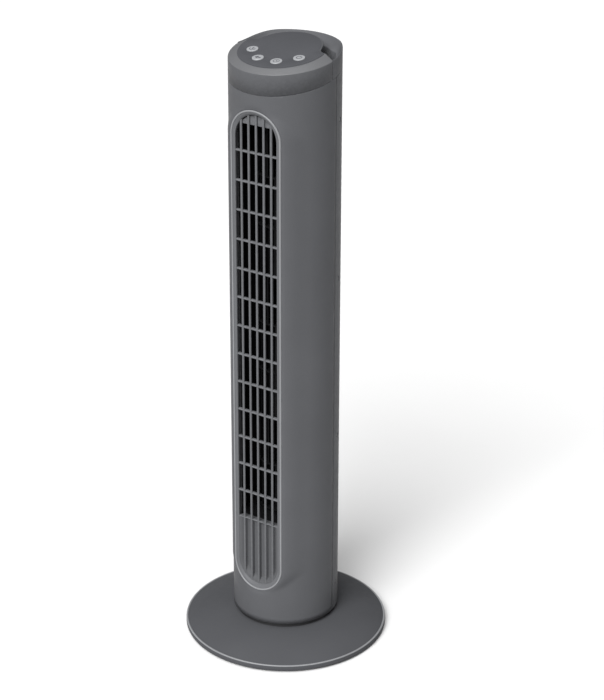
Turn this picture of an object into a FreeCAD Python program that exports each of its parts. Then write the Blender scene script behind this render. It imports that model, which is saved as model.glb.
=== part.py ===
import FreeCAD, Part
import math
import os
import re
import Sketcher

# Oscillating tower fan. Millimetres, +Z up, front towards -Y, the right-hand side seen from
# the front towards +X. The origin is on the floor, on the axis that the tower swings about.

DIMENSIONS = {
    # round tower and its disc base
    "tower_r": 70, "tower_wall": 2.5, "tower_bottom_z": 34, "shell_half_angle": 97,
    "seam_gap": 0.5, "seam_z": 776, "seam_tilt": 10.5,
    "base_r": 135, "base_rim_z": 8.5, "base_neck_z": 27.5, "base_wall": 3,
    "foot_r": 8, "foot_ring_r": 117, "foot_height": 3.5, "foot_count": 6,
    # swivel: seat, tube, ring gear and pinion
    "seat_r": 66, "seat_top_z": 33.2, "glide_z": 29.6, "tube_r": 20, "tube_bore_r": 13,
    "gear_z": 27.5, "gear_thick": 4.5, "gear_module": 1,
    "gear_teeth": 60, "pinion_teeth": 15, "pinion_shaft_r": 3, "pinion_shaft_length": 16,
    "swing_can_r": 25, "swing_can_height": 16, "swing_ear_y": 28, "plate_thick": 3,
    "retainer_r": 27, "retainer_z": 20.4, "retainer_thick": 3.8, "retainer_ring_r": 16.5,
    "gear_screw_r": 25,
    # air outlet
    "bezel_front_r": 170, "bezel_front_y": 68.6, "outlet_half": 37,
    "outlet_low_z": 117, "outlet_high_z": 706, "grille_half": 30.5,
    "grille_low_z": 118, "grille_high_z": 705, "grille_y": -64.4, "bar_width": 3,
    "bar_pitch": 11, "bar_depth": 4, "rib_thick": 2.6, "rib_pitch": 39, "rib_count": 13,
    "rib_top_z": 686.4,
    "flute_top_z": 179, "head_plate_z": 721.5, "flute_r": 5,
    # crossflow impeller and its duct
    "rotor_y": 8, "rotor_r": 42, "rotor_low_z": 184, "segment_pitch": 66, "segment_count": 8,
    "blade_count": 32, "blade_thick": 1.0, "disc_thick": 1.6, "shaft_r": 4, "bush_r": 7,
    "duct_floor_z": 172, "duct_roof_z": 722, "duct_mouth_y": -50,
    # motor below the duct
    "motor_r": 38, "motor_low_z": 98, "motor_high_z": 168, "stator_low_z": 118,
    "stator_high_z": 150,
    # cap, control panel and carry handle
    "panel_z": 805.3, "panel_tilt": 9, "plateau_r": 57.2, "plateau_y": -4, "bevel_slope": 24,
    "deck_thick": 5.2, "overlay_thick": 1.2, "overlay_r": 56, "lobe_r": 46,
    "notch_x": 45.5, "notch_y": 6.6, "notch_rim_x": 80, "notch_rim_y": -3.4, "rim_z": 799.5, "rim_tilt": 6.6,
    "handle_slope": 40, "bar_inner_r": 56, "bar_side_y": 30, "grip_low_z": 762,
    "grip_half": 42, "grip_front_y": 30,
    # round push buttons on the panel
    "button_r": 7.4, "button_hole_r": 7.7, "button_proud": 0.7, "button_travel": 0.7,
    "outer_button_x": 34, "outer_button_y": -20.5, "inner_button_x": 13.4,
    "inner_button_y": -39,
    # button stems, circuit board, screws and the cord's bushing
    "stem_length": 8.5, "board_depth": 14, "board_screw_x": 24, "board_screw_y": -26,
    "screw_head_r": 2.8, "screw_head_h": 1.8, "screw_r": 1.5, "cord_bore_r": 3.4,
    "cord_z": 62, "channel_x": 49, "channel_y": 25,
}

doc = FreeCAD.newDocument("tower_fan")
sheet = doc.addObject("Spreadsheet::Sheet", "Dims")
for row, (alias, number) in enumerate(DIMENSIONS.items(), start=1):
    sheet.set(f"A{row}", str(number))
    sheet.setAlias(f"A{row}", alias)
doc.recompute()

NODES = []
X_AXIS, Z_AXIS = (1, 0, 0), (0, 0, 1)


def dim(alias):
    """A driving dimension, read from the sheet."""
    return float(getattr(sheet, alias))


def cells(text):
    """An expression in plain words, with each alias turned into a reference to its cell."""
    swap = lambda word: "Dims." + word.group(0) if word.group(0) in DIMENSIONS else word.group(0)
    return re.sub(r"[a-z_]+", swap, str(text))


def bind(item, **expressions):
    for name, text in expressions.items():
        item.setExpression(name, cells(text))
    return item


def place(item, at, axis=Z_AXIS, angle="0"):
    """Puts an object at a point, turned by an angle about an axis through that point."""
    x, y, z = (cells(value) for value in at)
    turn = "; ".join(str(part) for part in axis)
    text = f"placement(vector({x}; {y}; {z}); rotation(vector({turn}); {cells(angle)}))"
    item.setExpression("Placement", text)
    return item


def box(name, low, size, axis=Z_AXIS, angle="0"):
    item = doc.addObject("Part::Box", name)
    bind(item, Length=size[0], Width=size[1], Height=size[2])
    return place(item, low, axis, angle)


def cylinder(name, radius, height, at, axis=Z_AXIS, angle="0"):
    item = doc.addObject("Part::Cylinder", name)
    bind(item, Radius=radius, Height=height)
    return place(item, at, axis, angle)


def cone(name, low_radius, high_radius, height, at, axis=Z_AXIS, angle="0"):
    item = doc.addObject("Part::Cone", name)
    bind(item, Radius1=low_radius, Radius2=high_radius, Height=height)
    return place(item, at, axis, angle)


def cut(name, base, tool):
    item = doc.addObject("Part::Cut", name)
    item.Base, item.Tool = base, tool
    return item


def fuse(name, *items):
    joined = doc.addObject("Part::MultiFuse", name)
    joined.Shapes = list(items)
    joined.Refine = True
    return joined


def common(name, *items):
    shared = doc.addObject("Part::MultiCommon", name)
    shared.Shapes = list(items)
    return shared


def group(name, items):
    together = doc.addObject("Part::Compound", name)
    together.Links = list(items)
    return together


def node(name, item):
    """Marks an object as a finished piece with its own file."""
    item.Label = name
    NODES.append(item)
    return item


def shape_node(name, shape):
    item = doc.addObject("Part::Feature", name)
    item.Shape = shape
    return node(name, item)


def ring(name, outer, inner, low_z, height):
    wall = cylinder(name + "_wall", outer, height, ("0", "0", low_z))
    hole = cylinder(name + "_hole", inner, f"{height} + 2", ("0", "0", f"{low_z} - 1"))
    return cut(name, wall, hole)


def origin_plane(body, role):
    return next(item for item in body.Origin.OriginFeatures if item.Role == role)


def outline(body, name, role, points):
    """A closed sketch with straight sides, each corner held by two signed distances."""
    sketch = body.newObject("Sketcher::SketchObject", name)
    sketch.AttachmentSupport = [(origin_plane(body, role), "")]
    sketch.MapMode = "FlatFace"
    count = len(points)
    start = [FreeCAD.Vector(math.cos(k), math.sin(k), 0) * (10 + k) for k in range(count)]
    for k in range(count):
        sketch.addGeometry(Part.LineSegment(start[k], start[(k + 1) % count]))
    for k in range(count):
        sketch.addConstraint(Sketcher.Constraint("Coincident", k, 2, (k + 1) % count, 1))
    for k, (across, up) in enumerate(points):
        for kind, text, first in (("DistanceX", across, start[k].x), ("DistanceY", up, start[k].y)):
            index = sketch.addConstraint(Sketcher.Constraint(kind, -1, 1, k, 1, first))
            sketch.setExpression(f"Constraints[{index}]", cells(text))
    return sketch


def turned(name, points):
    """A body turned about the Z axis from an outline of (radius, height) corners."""
    body = doc.addObject("PartDesign::Body", name)
    sketch = outline(body, name + "_outline", "XZ_Plane", points)
    feature = body.newObject("PartDesign::Revolution", name + "_turn")
    feature.Profile = sketch
    feature.ReferenceAxis = (sketch, ["V_Axis"])
    feature.Angle = 360
    return body


def prism(name, points, low_z, height):
    """A body padded upwards from an outline of (x, y) corners."""
    body = doc.addObject("PartDesign::Body", name)
    sketch = outline(body, name + "_outline", "XY_Plane", points)
    feature = body.newObject("PartDesign::Pad", name + "_pad")
    feature.Profile = sketch
    bind(feature, Length=height)
    return place(body, ("0", "0", low_z))


def stadium(name, half, low_z, high_z, front_y, depth):
    """A round-ended upright prism that runs back along +Y from front_y."""
    middle = box(name + "_middle", (f"-{half}", front_y, low_z),
                 (f"2 * {half}", depth, f"{high_z} - {low_z}"))
    ends = [cylinder(f"{name}_end_{k}", half, depth, ("0", f"{front_y} + {depth}", z), X_AXIS, "90")
            for k, z in enumerate((low_z, high_z))]
    return fuse(name, middle, *ends)


def tilted_slab(name, height_on_axis, tilt, thickness, radius="90"):
    """A wide disc whose top face crosses the axis at a height and rises to the rear by a tilt."""
    return cylinder(name, radius, thickness,
                    ("0", f"{thickness} * sin({tilt})", f"{height_on_axis} - {thickness} * cos({tilt})"),
                    X_AXIS, tilt)


def screw(name, at, axis=Z_AXIS, angle="0", length="8"):
    """A pan-head screw whose head's top is at a point and whose shank runs down local -Z."""
    profile = [("0", f"-{length} - screw_head_h"), ("screw_r", f"-{length} - screw_head_h"),
               ("screw_r", "-screw_head_h"), ("screw_head_r", "-screw_head_h"),
               ("screw_head_r", "-0.4"), ("screw_head_r - 0.5", "0"), ("0", "0")]
    return place(turned(name, profile), at, axis, angle)


def polar(radius, degrees):
    """Expressions for x and y at an angle from +X."""
    return f"({radius}) * cos({degrees})", f"({radius}) * sin({degrees})"


# ---- base: a hollow disc on rubber feet --------------------------------------------------

def crown(radius_text, offset):
    """Height of the base's domed skin at a radius, lowered by an offset."""
    fall = "(base_neck_z - base_rim_z - 1)"
    share = f"(({radius_text} - seat_r) / (base_r - 1 - seat_r))"
    return f"base_neck_z - {offset} - {fall} * (0.35 * {share} + 0.65 * {share} * {share})"


def foot_places():
    """Expressions for the middle of each foot."""
    for k in range(int(dim("foot_count"))):
        yield polar("foot_ring_r", f"90 + {k} * 360 / foot_count")


def gear_screw_places():
    """The three screws that hold the ring gear."""
    for k in range(3):
        yield polar("gear_screw_r", f"30 + 120 * {k}")


def make_base_shell():
    steps = [k / 6 for k in range(7)]
    reach = "(base_r - 1 - seat_r)"
    top = [(f"seat_r + {reach} * {s}", crown(f"(seat_r + {reach} * {s})", 0)) for s in steps]
    inner_reach = "(base_r - base_wall - 0.5 - seat_r)"
    under = [(f"seat_r + {inner_reach} * {s}", crown(f"(seat_r + {inner_reach} * {s})", "base_wall"))
             for s in reversed(steps)]
    rim = [("base_r", "base_rim_z"), ("base_r", "3"), ("base_r - 1.2", "1.5")]
    bore = "tube_r + 0.05"
    skin = [(bore, "base_neck_z")] + top + rim + [("base_r - base_wall - 0.5", "1.5")]
    skin += under + [(bore, "base_neck_z - base_wall")]
    shell = turned("base_skin", skin)
    rim_corner = [("base_r - 1", "base_rim_z"), ("base_r - 1", "2")]
    fill = turned("base_fill", [("0", "2"), ("0", "base_neck_z")] + top + rim_corner)
    webs = [box(f"base_web_{k}", ("0", "0", "2"), ("base_r", "2", "30"), Z_AXIS, f"{22.5 + 45 * k}")
            for k in range(8)]
    posts = [cylinder(f"base_post_{k}", "foot_r + 1.5", "30", (x, y, "2"))
             for k, (x, y) in enumerate(foot_places())]
    middle = cylinder("base_clearance", "60", "40", ("0", "0", "0"))
    ribs = cut("base_ribs", fuse("base_supports", *webs, *posts), middle)
    shell = fuse("base_body", shell, common("base_inside", ribs, fill))
    sockets = [cylinder(f"foot_socket_{k}", "foot_r", "foot_height", (x, y, "0"))
               for k, (x, y) in enumerate(foot_places())]
    pilots = [cylinder(f"gear_pilot_{k}", "screw_r", "12", (x, y, "20"))
              for k, (x, y) in enumerate(gear_screw_places())]
    node("base_shell", cut("base_shell", shell, fuse("base_sockets", *sockets, *pilots)))
    pads = [cylinder(f"foot_{k}", "foot_r", "foot_height", (x, y, "0"))
            for k, (x, y) in enumerate(foot_places())]
    node("base_feet", group("base_feet", pads))


def make_swivel():
    seat = turned("swivel_seat", [
        ("seat_r", "base_neck_z"), ("seat_r", "seat_top_z"), ("seat_r - 3", "seat_top_z"),
        ("seat_r - 3", "glide_z"), ("47.5", "glide_z"), ("47.5", "base_neck_z")])
    node("swivel_seat", seat)
    screws = [screw(f"gear_screw_{k}", (x, y, "gear_z + gear_thick - 1"), length="4.3")
              for k, (x, y) in enumerate(gear_screw_places())]
    node("base_screws", group("base_screws", screws))


def gear_shape(teeth, module, thickness, low_z, turn, bore):
    """A spur gear with straight-sided teeth a little thinner than half the pitch."""
    pitch_r = teeth * module / 2
    tip_r, root_r = pitch_r + 0.9 * module, pitch_r - 1.2 * module
    step = 2 * math.pi / teeth
    corners = []
    for tooth in range(teeth):
        middle = turn + tooth * step
        for radius, share in ((root_r, -0.31), (tip_r, -0.115), (tip_r, 0.115), (root_r, 0.31)):
            angle = middle + share * step
            corners.append(FreeCAD.Vector(radius * math.cos(angle), radius * math.sin(angle), low_z))
    face = Part.Face(Part.makePolygon(corners + corners[:1]))
    gear = face.extrude(FreeCAD.Vector(0, 0, thickness))
    if bore > 0:
        gear = gear.cut(Part.makeCylinder(bore, thickness + 2, FreeCAD.Vector(0, 0, low_z - 1)))
    return gear


def make_swing_gears():
    low_z, thick = dim("gear_z"), dim("gear_thick")
    module, teeth, pinion_teeth = dim("gear_module"), int(dim("gear_teeth")), int(dim("pinion_teeth"))
    wheel = gear_shape(teeth, module, thick, low_z, 0, dim("tube_r") + 0.6)
    for k in range(3):
        angle = math.radians(30 + 120 * k)
        spot = FreeCAD.Vector(math.cos(angle), math.sin(angle), 0) * dim("gear_screw_r")
        head_low = FreeCAD.Vector(0, 0, low_z + thick - 2.8)
        head = Part.makeCylinder(dim("screw_head_r") + 0.1, 5, spot + head_low)
        shank = Part.makeCylinder(dim("screw_r"), 20, spot + FreeCAD.Vector(0, 0, low_z - 5))
        wheel = wheel.cut(head).cut(shank)
    shape_node("swing_gear", wheel)
    half_tooth = math.pi / pinion_teeth
    pinion = gear_shape(pinion_teeth, module, thick - 1, low_z + 0.5, math.pi + half_tooth, 0)
    shaft_low = FreeCAD.Vector(0, 0, low_z + thick - 0.5)
    pinion = pinion.fuse(Part.makeCylinder(dim("pinion_shaft_r"), dim("pinion_shaft_length"), shaft_low))
    pinion.translate(FreeCAD.Vector(module * (teeth + pinion_teeth) / 2, 0, 0))
    shape_node("swing_pinion", pinion)


# ---- tower floor: plate, pivot tube and swing motor --------------------------------------

SWING_X = "gear_module * (gear_teeth + pinion_teeth) / 2"


def make_tower_floor():
    disc = cylinder("floor_disc", "tower_r - tower_wall - 0.1", "plate_thick", ("0", "0", "tower_bottom_z"))
    tube_low = "(retainer_z + retainer_thick)"
    tube_height = f"tower_bottom_z + plate_thick - {tube_low}"
    tube = cylinder("floor_tube", "tube_r", tube_height, ("0", "0", tube_low))
    glide = ring("floor_glide", "58", "52", "glide_z + 0.1", "tower_bottom_z + 0.5 - glide_z - 0.1")
    solid = fuse("floor_solid", disc, tube, glide)
    bore = cylinder("floor_bore", "tube_bore_r", "40", ("0", "0", "10"))
    shaft_hole = cylinder("floor_shaft_hole", "pinion_shaft_r + 0.4", "20", (SWING_X, "0", "30"))
    node("bottom_plate", cut("bottom_plate", solid, fuse("floor_holes", bore, shaft_hole)))
    spots = [polar("retainer_ring_r", f"120 * {k}") for k in range(3)]
    holes = [cylinder(f"retainer_hole_{k}", "screw_r", "9", (x, y, "20")) for k, (x, y) in enumerate(spots)]
    washer = ring("retainer_ring", "retainer_r", "tube_bore_r", "retainer_z", "retainer_thick")
    node("pivot_retainer", cut("pivot_retainer", washer, fuse("retainer_holes", *holes)))
    screws = [screw(f"pivot_screw_{k}", (x, y, "retainer_z - screw_head_h"), X_AXIS, "180", "retainer_thick")
              for k, (x, y) in enumerate(spots)]
    node("retainer_screws", group("retainer_screws", screws))


def make_swing_motor():
    floor_z = "tower_bottom_z + plate_thick"
    can = cylinder("swing_can", "swing_can_r", "swing_can_height", (SWING_X, "0", floor_z))
    boss = cylinder("swing_boss", "8", "4", (SWING_X, "0", f"{floor_z} + swing_can_height"))
    ears = box("swing_ears", (f"{SWING_X} - 4", "-swing_ear_y - 3", floor_z),
               ("8", "2 * swing_ear_y + 6", "2"))
    well = cylinder("swing_well", "pinion_shaft_r + 0.4", "14", (SWING_X, "0", "tower_bottom_z"))
    sides = ("-swing_ear_y", "swing_ear_y")
    holes = [cylinder(f"swing_hole_{k}", "screw_r", "9", (SWING_X, y, "tower_bottom_z"))
             for k, y in enumerate(sides)]
    case = fuse("swing_case", can, boss, ears)
    node("swing_motor", cut("swing_motor", case, fuse("swing_bores", well, *holes)))
    screws = [screw(f"swing_screw_{k}", (SWING_X, y, f"{floor_z} + 2 + screw_head_h"), length="2")
              for k, y in enumerate(sides)]
    node("swing_motor_screws", group("swing_motor_screws", screws))


# ---- tower skin: front shell and rear cover ----------------------------------------------

def arc_wall(name, outer, inner, low_z, height, start, sweep):
    """A part of a tube, from a start angle and over a sweep, both from +X."""
    wall = cylinder(name + "_wall", outer, height, ("0", "0", low_z), Z_AXIS, start)
    bind(wall, Angle=sweep)
    hole = cylinder(name + "_hole", inner, f"{height} + 2", ("0", "0", f"{low_z} - 1"))
    return cut(name, wall, hole)


def seam_top(name):
    """Everything above the shells, which end at the tilted seam under the cap."""
    return cylinder(name, "120", "150", ("0", "0", "seam_z - seam_gap / 2"), X_AXIS, "seam_tilt")


def make_front_shell():
    inner = "tower_r - tower_wall"
    skin = arc_wall("front_skin", "tower_r", inner, "tower_bottom_z", "770",
                    "-90 - shell_half_angle", "2 * shell_half_angle")
    lips = [arc_wall(f"front_lip_{k}", inner, f"{inner} - 2.5", "tower_bottom_z + 4", "700", start, "24")
            for k, start in enumerate(("shell_half_angle - 95", "-90 - shell_half_angle - 19"))]
    solid = fuse("front_solid", skin, *lips)
    window = stadium("front_window", "(outlet_half + 0.05)", "outlet_low_z", "outlet_high_z", "-80", "60")
    pilots = [cylinder(f"cover_pilot_{k}", "screw_r", "14", (*polar("58", angle), z), (y, -x, 0), "-90")
              for k, (angle, z, x, y) in enumerate(cover_screw_places())]
    tools = fuse("front_tools", window, seam_top("front_top"), *pilots)
    node("front_shell", cut("front_shell", solid, tools))


COVER_SCREW_ANGLES = (17, 163)
COVER_SCREW_HEIGHTS = (70, 290, 510, 720)


def cover_screw_places():
    """Angle from +X, height and outward direction of each cover screw."""
    for angle in COVER_SCREW_ANGLES:
        direction = math.cos(math.radians(angle)), math.sin(math.radians(angle))
        for height in COVER_SCREW_HEIGHTS:
            yield f"{angle}", f"{height}", *direction


def make_rear_cover():
    skin = arc_wall("rear_skin", "tower_r", "tower_r - tower_wall + 0.1", "tower_bottom_z", "770",
                    "shell_half_angle - 90 + 0.35", "360 - 2 * shell_half_angle - 0.7")
    heads = [cylinder(f"cover_hole_{k}", "screw_head_r + 0.3", "14", (*polar("62", angle), z),
                      (y, -x, 0), "-90")
             for k, (angle, z, x, y) in enumerate(cover_screw_places())]
    cord = cylinder("cord_hole", "6.1", "40", ("0", "90", "cord_z"), X_AXIS, "90")
    back_y, corner_r = "grip_front_y + 4", "10"
    grip = [box("grip_cut", ("-grip_half", back_y, f"grip_low_z + {corner_r}"),
                ("2 * grip_half", "60", "60")),
            box("grip_low_cut", (f"{corner_r} - grip_half", back_y, "grip_low_z"),
                (f"2 * grip_half - 2 * {corner_r}", "60", "20"))]
    grip += [cylinder(f"grip_corner_{k}", corner_r, "60", (x, f"{back_y} + 60", f"grip_low_z + {corner_r}"),
                      X_AXIS, "90")
             for k, x in enumerate((f"{corner_r} - grip_half", f"grip_half - {corner_r}"))]
    solid = cut("rear_plain", skin, fuse("rear_tools", seam_top("rear_top"), cord, *heads, *grip))
    grid = doc.addObject("Part::Feature", "intake_slots")
    grid.Shape = Part.makeCompound(list(intake_slots()))
    node("rear_cover", cut("rear_cover", solid, grid))
    screws = [screw(f"cover_screw_{k}", (*polar("tower_r - 0.6", angle), z), (-y, x, 0), "90", "3.4")
              for k, (angle, z, x, y) in enumerate(cover_screw_places())]
    node("cover_screws", group("cover_screws", screws))


def intake_slots():
    """Rows of short level slots round the back of the tower."""
    low_z, pitch, rows = 190, 9.6, 54
    length, height = 22, 4
    for row in range(rows):
        for angle in (38, 64, 90, 116, 142):
            corner = FreeCAD.Vector(60, -length / 2, low_z + pitch * row)
            slot = Part.makeBox(20, length, height, corner)
            slot.rotate(FreeCAD.Vector(), FreeCAD.Vector(0, 0, 1), angle)
            yield slot


# ---- air outlet: bezel, grille and fluted panel ------------------------------------------

def make_bezel():
    """The frame round the outlet, whose front is flatter than the tower's round skin."""
    frame = stadium("bezel_blank", "outlet_half", "outlet_low_z", "outlet_high_z", "-80", "26")
    skin = cylinder("bezel_skin", "bezel_front_r", "760", ("0", "bezel_front_r - bezel_front_y", "20"))
    scoops = [cone(f"scoop_{k}", radius, "grille_half", "9", ("0", "grille_y - 9", z), X_AXIS, "-90")
              for k, (radius, z) in enumerate((("35.5", "grille_low_z"), ("35.5", "grille_high_z")))]
    throat = stadium("bezel_throat", "grille_half", "grille_low_z", "grille_high_z", "-90", "60")
    tool = fuse("bezel_tools", *scoops, throat)
    node("bezel_ring", cut("bezel_ring", common("bezel_body", frame, skin), tool))


def make_grille():
    length = "grille_high_z + grille_half - grille_low_z + grille_half"
    bars = [box(f"bar_{k}", (f"{k} * bar_pitch - bar_width / 2", "grille_y", "grille_low_z - grille_half"),
                ("bar_width", "bar_depth", length)) for k in range(-2, 3)]
    ribs = [box(f"rib_{k}", ("-grille_half", "grille_y + 1", f"rib_top_z - {k} * rib_pitch - rib_thick / 2"),
                ("2 * grille_half", "9", "rib_thick")) for k in range(int(dim("rib_count")))]
    head = box("head_plate", ("-grille_half", "grille_y + 3", "head_plate_z"), ("2 * grille_half", "3", "40"))
    tail = box("tail_plate", ("-grille_half", "grille_y + 3", "flute_top_z - 3"),
               ("2 * grille_half", "7", "3"))
    solid = fuse("grille_solid", *bars, *ribs, head, tail)
    field = stadium("grille_field", "(grille_half - 0.05)", "grille_low_z", "grille_high_z", "-80", "60")
    node("outlet_grille", common("outlet_grille", solid, field))
    plate = box("flute_blank", ("-grille_half", "grille_y + bar_depth", "grille_low_z - grille_half"),
                ("2 * grille_half", "5", "flute_top_z - 3 - grille_low_z + grille_half"))
    flutes = [cylinder(f"flute_{k}", "flute_r", "200", (f"({k} + 0.5) * bar_pitch", "grille_y + 1.5", "60"))
              for k in range(-3, 3)]
    field = stadium("flute_field", "(grille_half - 0.05)", "grille_low_z", "grille_high_z", "-80", "60")
    node("flute_panel", common("flute_panel", cut("flute_cut", plate, fuse("flutes", *flutes)), field))


# ---- duct, impeller and motor ------------------------------------------------------------

def motor_screw_spots():
    """Four screws on a circle about the motor's axis."""
    for k in range(4):
        x, y = polar("30", f"45 + 90 * {k}")
        yield x, f"rotor_y + {y}"


def channel_slot(name):
    """The notch in a duct plate that the wire channel passes through."""
    return box(f"channel_slot_{name}", ("channel_x - 0.2", "channel_y - 0.2", "100"), ("30", "7", "700"))


def duct_front(name, low_z):
    """The front of a duct plate is cut away to clear the outlet grille."""
    return box(name, ("-50", "-80", f"{low_z} - 5"), ("100", "29", "20"))


def make_duct():
    radius = "tower_r - tower_wall - 3"
    plate = cylinder("duct_floor_plate", radius, "plate_thick", ("0", "0", "duct_floor_z"))
    hole = cylinder("duct_floor_hole", "9", "20", ("0", "rotor_y", "duct_floor_z - 5"))
    holes = [cylinder(f"duct_floor_hole_{k}", "screw_r", "20", (x, y, "duct_floor_z - 5"))
             for k, (x, y) in enumerate(motor_screw_spots())]
    tools = fuse("duct_floor_cut", hole, duct_front("duct_floor_front", "duct_floor_z"),
                 channel_slot("floor"), *holes)
    node("duct_floor", cut("duct_floor", plate, tools))
    plate = cylinder("duct_roof_plate", radius, "plate_thick", ("0", "0", "duct_roof_z"))
    socket = cylinder("duct_roof_socket", "12", "9", ("0", "rotor_y", "duct_roof_z"))
    hole = cylinder("duct_roof_hole", "bush_r", "30", ("0", "rotor_y", "duct_roof_z - 5"))
    tools = fuse("duct_roof_cut", hole, duct_front("duct_roof_front", "duct_roof_z"), channel_slot("roof"))
    node("duct_roof", cut("duct_roof_solid", fuse("duct_roof_blank", plate, socket), tools))
    wall = cylinder("bush_wall", "bush_r", "8", ("0", "rotor_y", "duct_roof_z + 0.5"))
    bore = cylinder("bush_bore", "shaft_r + 0.05", "20", ("0", "rotor_y", "duct_roof_z - 5"))
    node("top_bearing", cut("top_bearing", wall, bore))


def strip(points, thickness, low_z, height):
    """An upright wall of even thickness that follows a smooth line through points in plan."""
    near = Part.BSplineCurve()
    near.interpolate([FreeCAD.Vector(x, y, low_z) for x, y in points])
    far_points = []
    for k in range(25):
        spot = near.FirstParameter + (near.LastParameter - near.FirstParameter) * k / 24
        along = near.tangent(spot)[0]
        far_points.append(near.value(spot) + FreeCAD.Vector(along.y, -along.x, 0) * thickness)
    far = Part.BSplineCurve()
    far.interpolate(far_points)
    edges = [near.toShape(), Part.makeLine(near.EndPoint, far.EndPoint), far.toShape(),
             Part.makeLine(far.StartPoint, near.StartPoint)]
    rim = Part.Wire(Part.__sortEdges__(edges))
    return Part.Face(rim).extrude(FreeCAD.Vector(0, 0, height))


def make_scroll():
    """The scroll widens from the outlet's left side, round behind the impeller."""
    low_z = dim("duct_floor_z") + dim("plate_thick")
    height = dim("duct_roof_z") - low_z
    centre_y, turns = dim("rotor_y"), []
    for k in range(9):
        share = k / 8
        angle = math.radians(205 - 80 * share)
        radius = dim("rotor_r") + 12 - 8 * share
        turns.append((radius * math.cos(angle), centre_y + radius * math.sin(angle)))
    route = [(-35.5, dim("duct_mouth_y")), (-41, -36)] + turns
    shape_node("scroll_wall", strip(route, 2, low_z, height))
    tongue = [(35.5, dim("duct_mouth_y")), (38.5, -38), (41.5, -27), (46, -20), (55, -16)]
    shape_node("vortex_tongue", strip(tongue, 2, low_z, height))


def blade_shape(height):
    """One forward-curved blade: a thin slice of a ring, seen in plan."""
    outer_r, inner_r, thick = dim("rotor_r") - 0.4, dim("rotor_r") - 11, dim("blade_thick")
    tip = FreeCAD.Vector(outer_r, 0, 0)
    root = FreeCAD.Vector(inner_r, -3.5, 0)
    middle = (tip + root) * 0.5 + FreeCAD.Vector(0.6, -2.4, 0)
    lift = FreeCAD.Vector(0, thick, 0)
    sides = [Part.Arc(tip, middle, root).toShape(), Part.makeLine(root, root + lift),
             Part.Arc(root + lift, middle + lift, tip + lift).toShape(), Part.makeLine(tip + lift, tip)]
    return Part.Face(Part.Wire(sides)).extrude(FreeCAD.Vector(0, 0, height))


def make_impeller():
    pitch, disc, radius = dim("segment_pitch"), dim("disc_thick"), dim("rotor_r")
    low_z, count = dim("rotor_low_z"), int(dim("segment_count"))
    blades = int(dim("blade_count"))
    base_blade = blade_shape(pitch - disc)
    turns = []
    for k in range(blades):
        blade = base_blade.copy()
        blade.rotate(FreeCAD.Vector(), FreeCAD.Vector(0, 0, 1), 360 * k / blades)
        blade.translate(FreeCAD.Vector(0, 0, disc))
        turns.append(blade)
    plate = Part.makeCylinder(radius, disc)
    segment = plate.multiFuse(turns)
    stack = []
    for k in range(count):
        piece = segment.copy()
        piece.rotate(FreeCAD.Vector(), FreeCAD.Vector(0, 0, 1), 5 * (k % 3))
        piece.translate(FreeCAD.Vector(0, dim("rotor_y"), low_z + pitch * k))
        stack.append(piece)
    shape_node("impeller_segments", Part.makeCompound(stack))
    top_z = low_z + pitch * count
    top = FreeCAD.Vector(0, dim("rotor_y"), top_z)
    cap = Part.makeCylinder(radius, disc, top)
    stub = Part.makeCylinder(dim("shaft_r"), dim("duct_roof_z") + 8 - top_z, top)
    shape_node("impeller_end_cap", cap.fuse(stub))
    hub = cylinder("hub_wall", "10", "5.5", ("0", "rotor_y", "rotor_low_z - 5.5"))
    hub_hole = cylinder("hub_hole", "shaft_r", "20", ("0", "rotor_y", "rotor_low_z - 10"))
    node("impeller_hub", cut("impeller_hub", hub, hub_hole))


def axis_cylinder(name, radius, low_z, height):
    return cylinder(name, radius, height, ("0", "rotor_y", low_z))


def make_motor():
    shaft_length = "rotor_low_z + 4 - motor_low_z"
    node("drive_shaft", axis_cylinder("drive_shaft", "shaft_r", "motor_low_z - 4", shaft_length))
    core = axis_cylinder("rotor_core", "18", "stator_low_z - 4", "stator_high_z - stator_low_z + 8")
    node("motor_rotor", cut("motor_rotor", core, axis_cylinder("rotor_bore", "shaft_r", "90", "90")))
    stack = axis_cylinder("stator_stack", "motor_r + 1", "stator_low_z", "stator_high_z - stator_low_z")
    node("motor_stator", cut("motor_stator", stack, axis_cylinder("stator_bore", "18.4", "100", "70")))
    coils = []
    for k, low in enumerate(("stator_low_z - 12", "stator_high_z")):
        coil = cut(f"coil_ring_{k}", axis_cylinder(f"coil_{k}", "31", low, "12"),
                   axis_cylinder(f"coil_bore_{k}", "20", f"{low} - 1", "14"))
        coils.append(coil)
    node("motor_windings", group("motor_windings", coils))
    for name, low, height, cup_low in (
            ("motor_shield_lower", "motor_low_z", "stator_low_z - motor_low_z", "motor_low_z + 2.5"),
            ("motor_shield_upper", "stator_high_z", "motor_high_z - stator_high_z", "stator_high_z - 2.5")):
        can = axis_cylinder(name + "_can", "motor_r", low, height)
        room = axis_cylinder(name + "_room", "motor_r - 2", cup_low, height)
        hole = axis_cylinder(name + "_hole", "8", "80", "120")
        node(name, cut(name, can, fuse(name + "_inside", room, hole)))
    bushes = []
    for k, low in enumerate(("motor_low_z", "motor_high_z - 4")):
        bushes.append(cut(f"bush_{k}", axis_cylinder(f"bush_wall_{k}", "8", low, "4"),
                          axis_cylinder(f"bush_hole_{k}", "shaft_r + 0.05", f"{low} - 1", "6")))
    node("motor_bushes", group("motor_bushes", bushes))
    spacers, screws = [], []
    for k, (x, y) in enumerate(motor_screw_spots()):
        spacers.append(cylinder(f"spacer_{k}", "4", "duct_floor_z - motor_high_z", (x, y, "motor_high_z")))
        screws.append(screw(f"motor_screw_{k}", (x, y, "duct_floor_z + plate_thick + screw_head_h"),
                            length="plate_thick"))
    node("motor_spacers", group("motor_spacers", spacers))
    node("motor_screws", group("motor_screws", screws))


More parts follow.
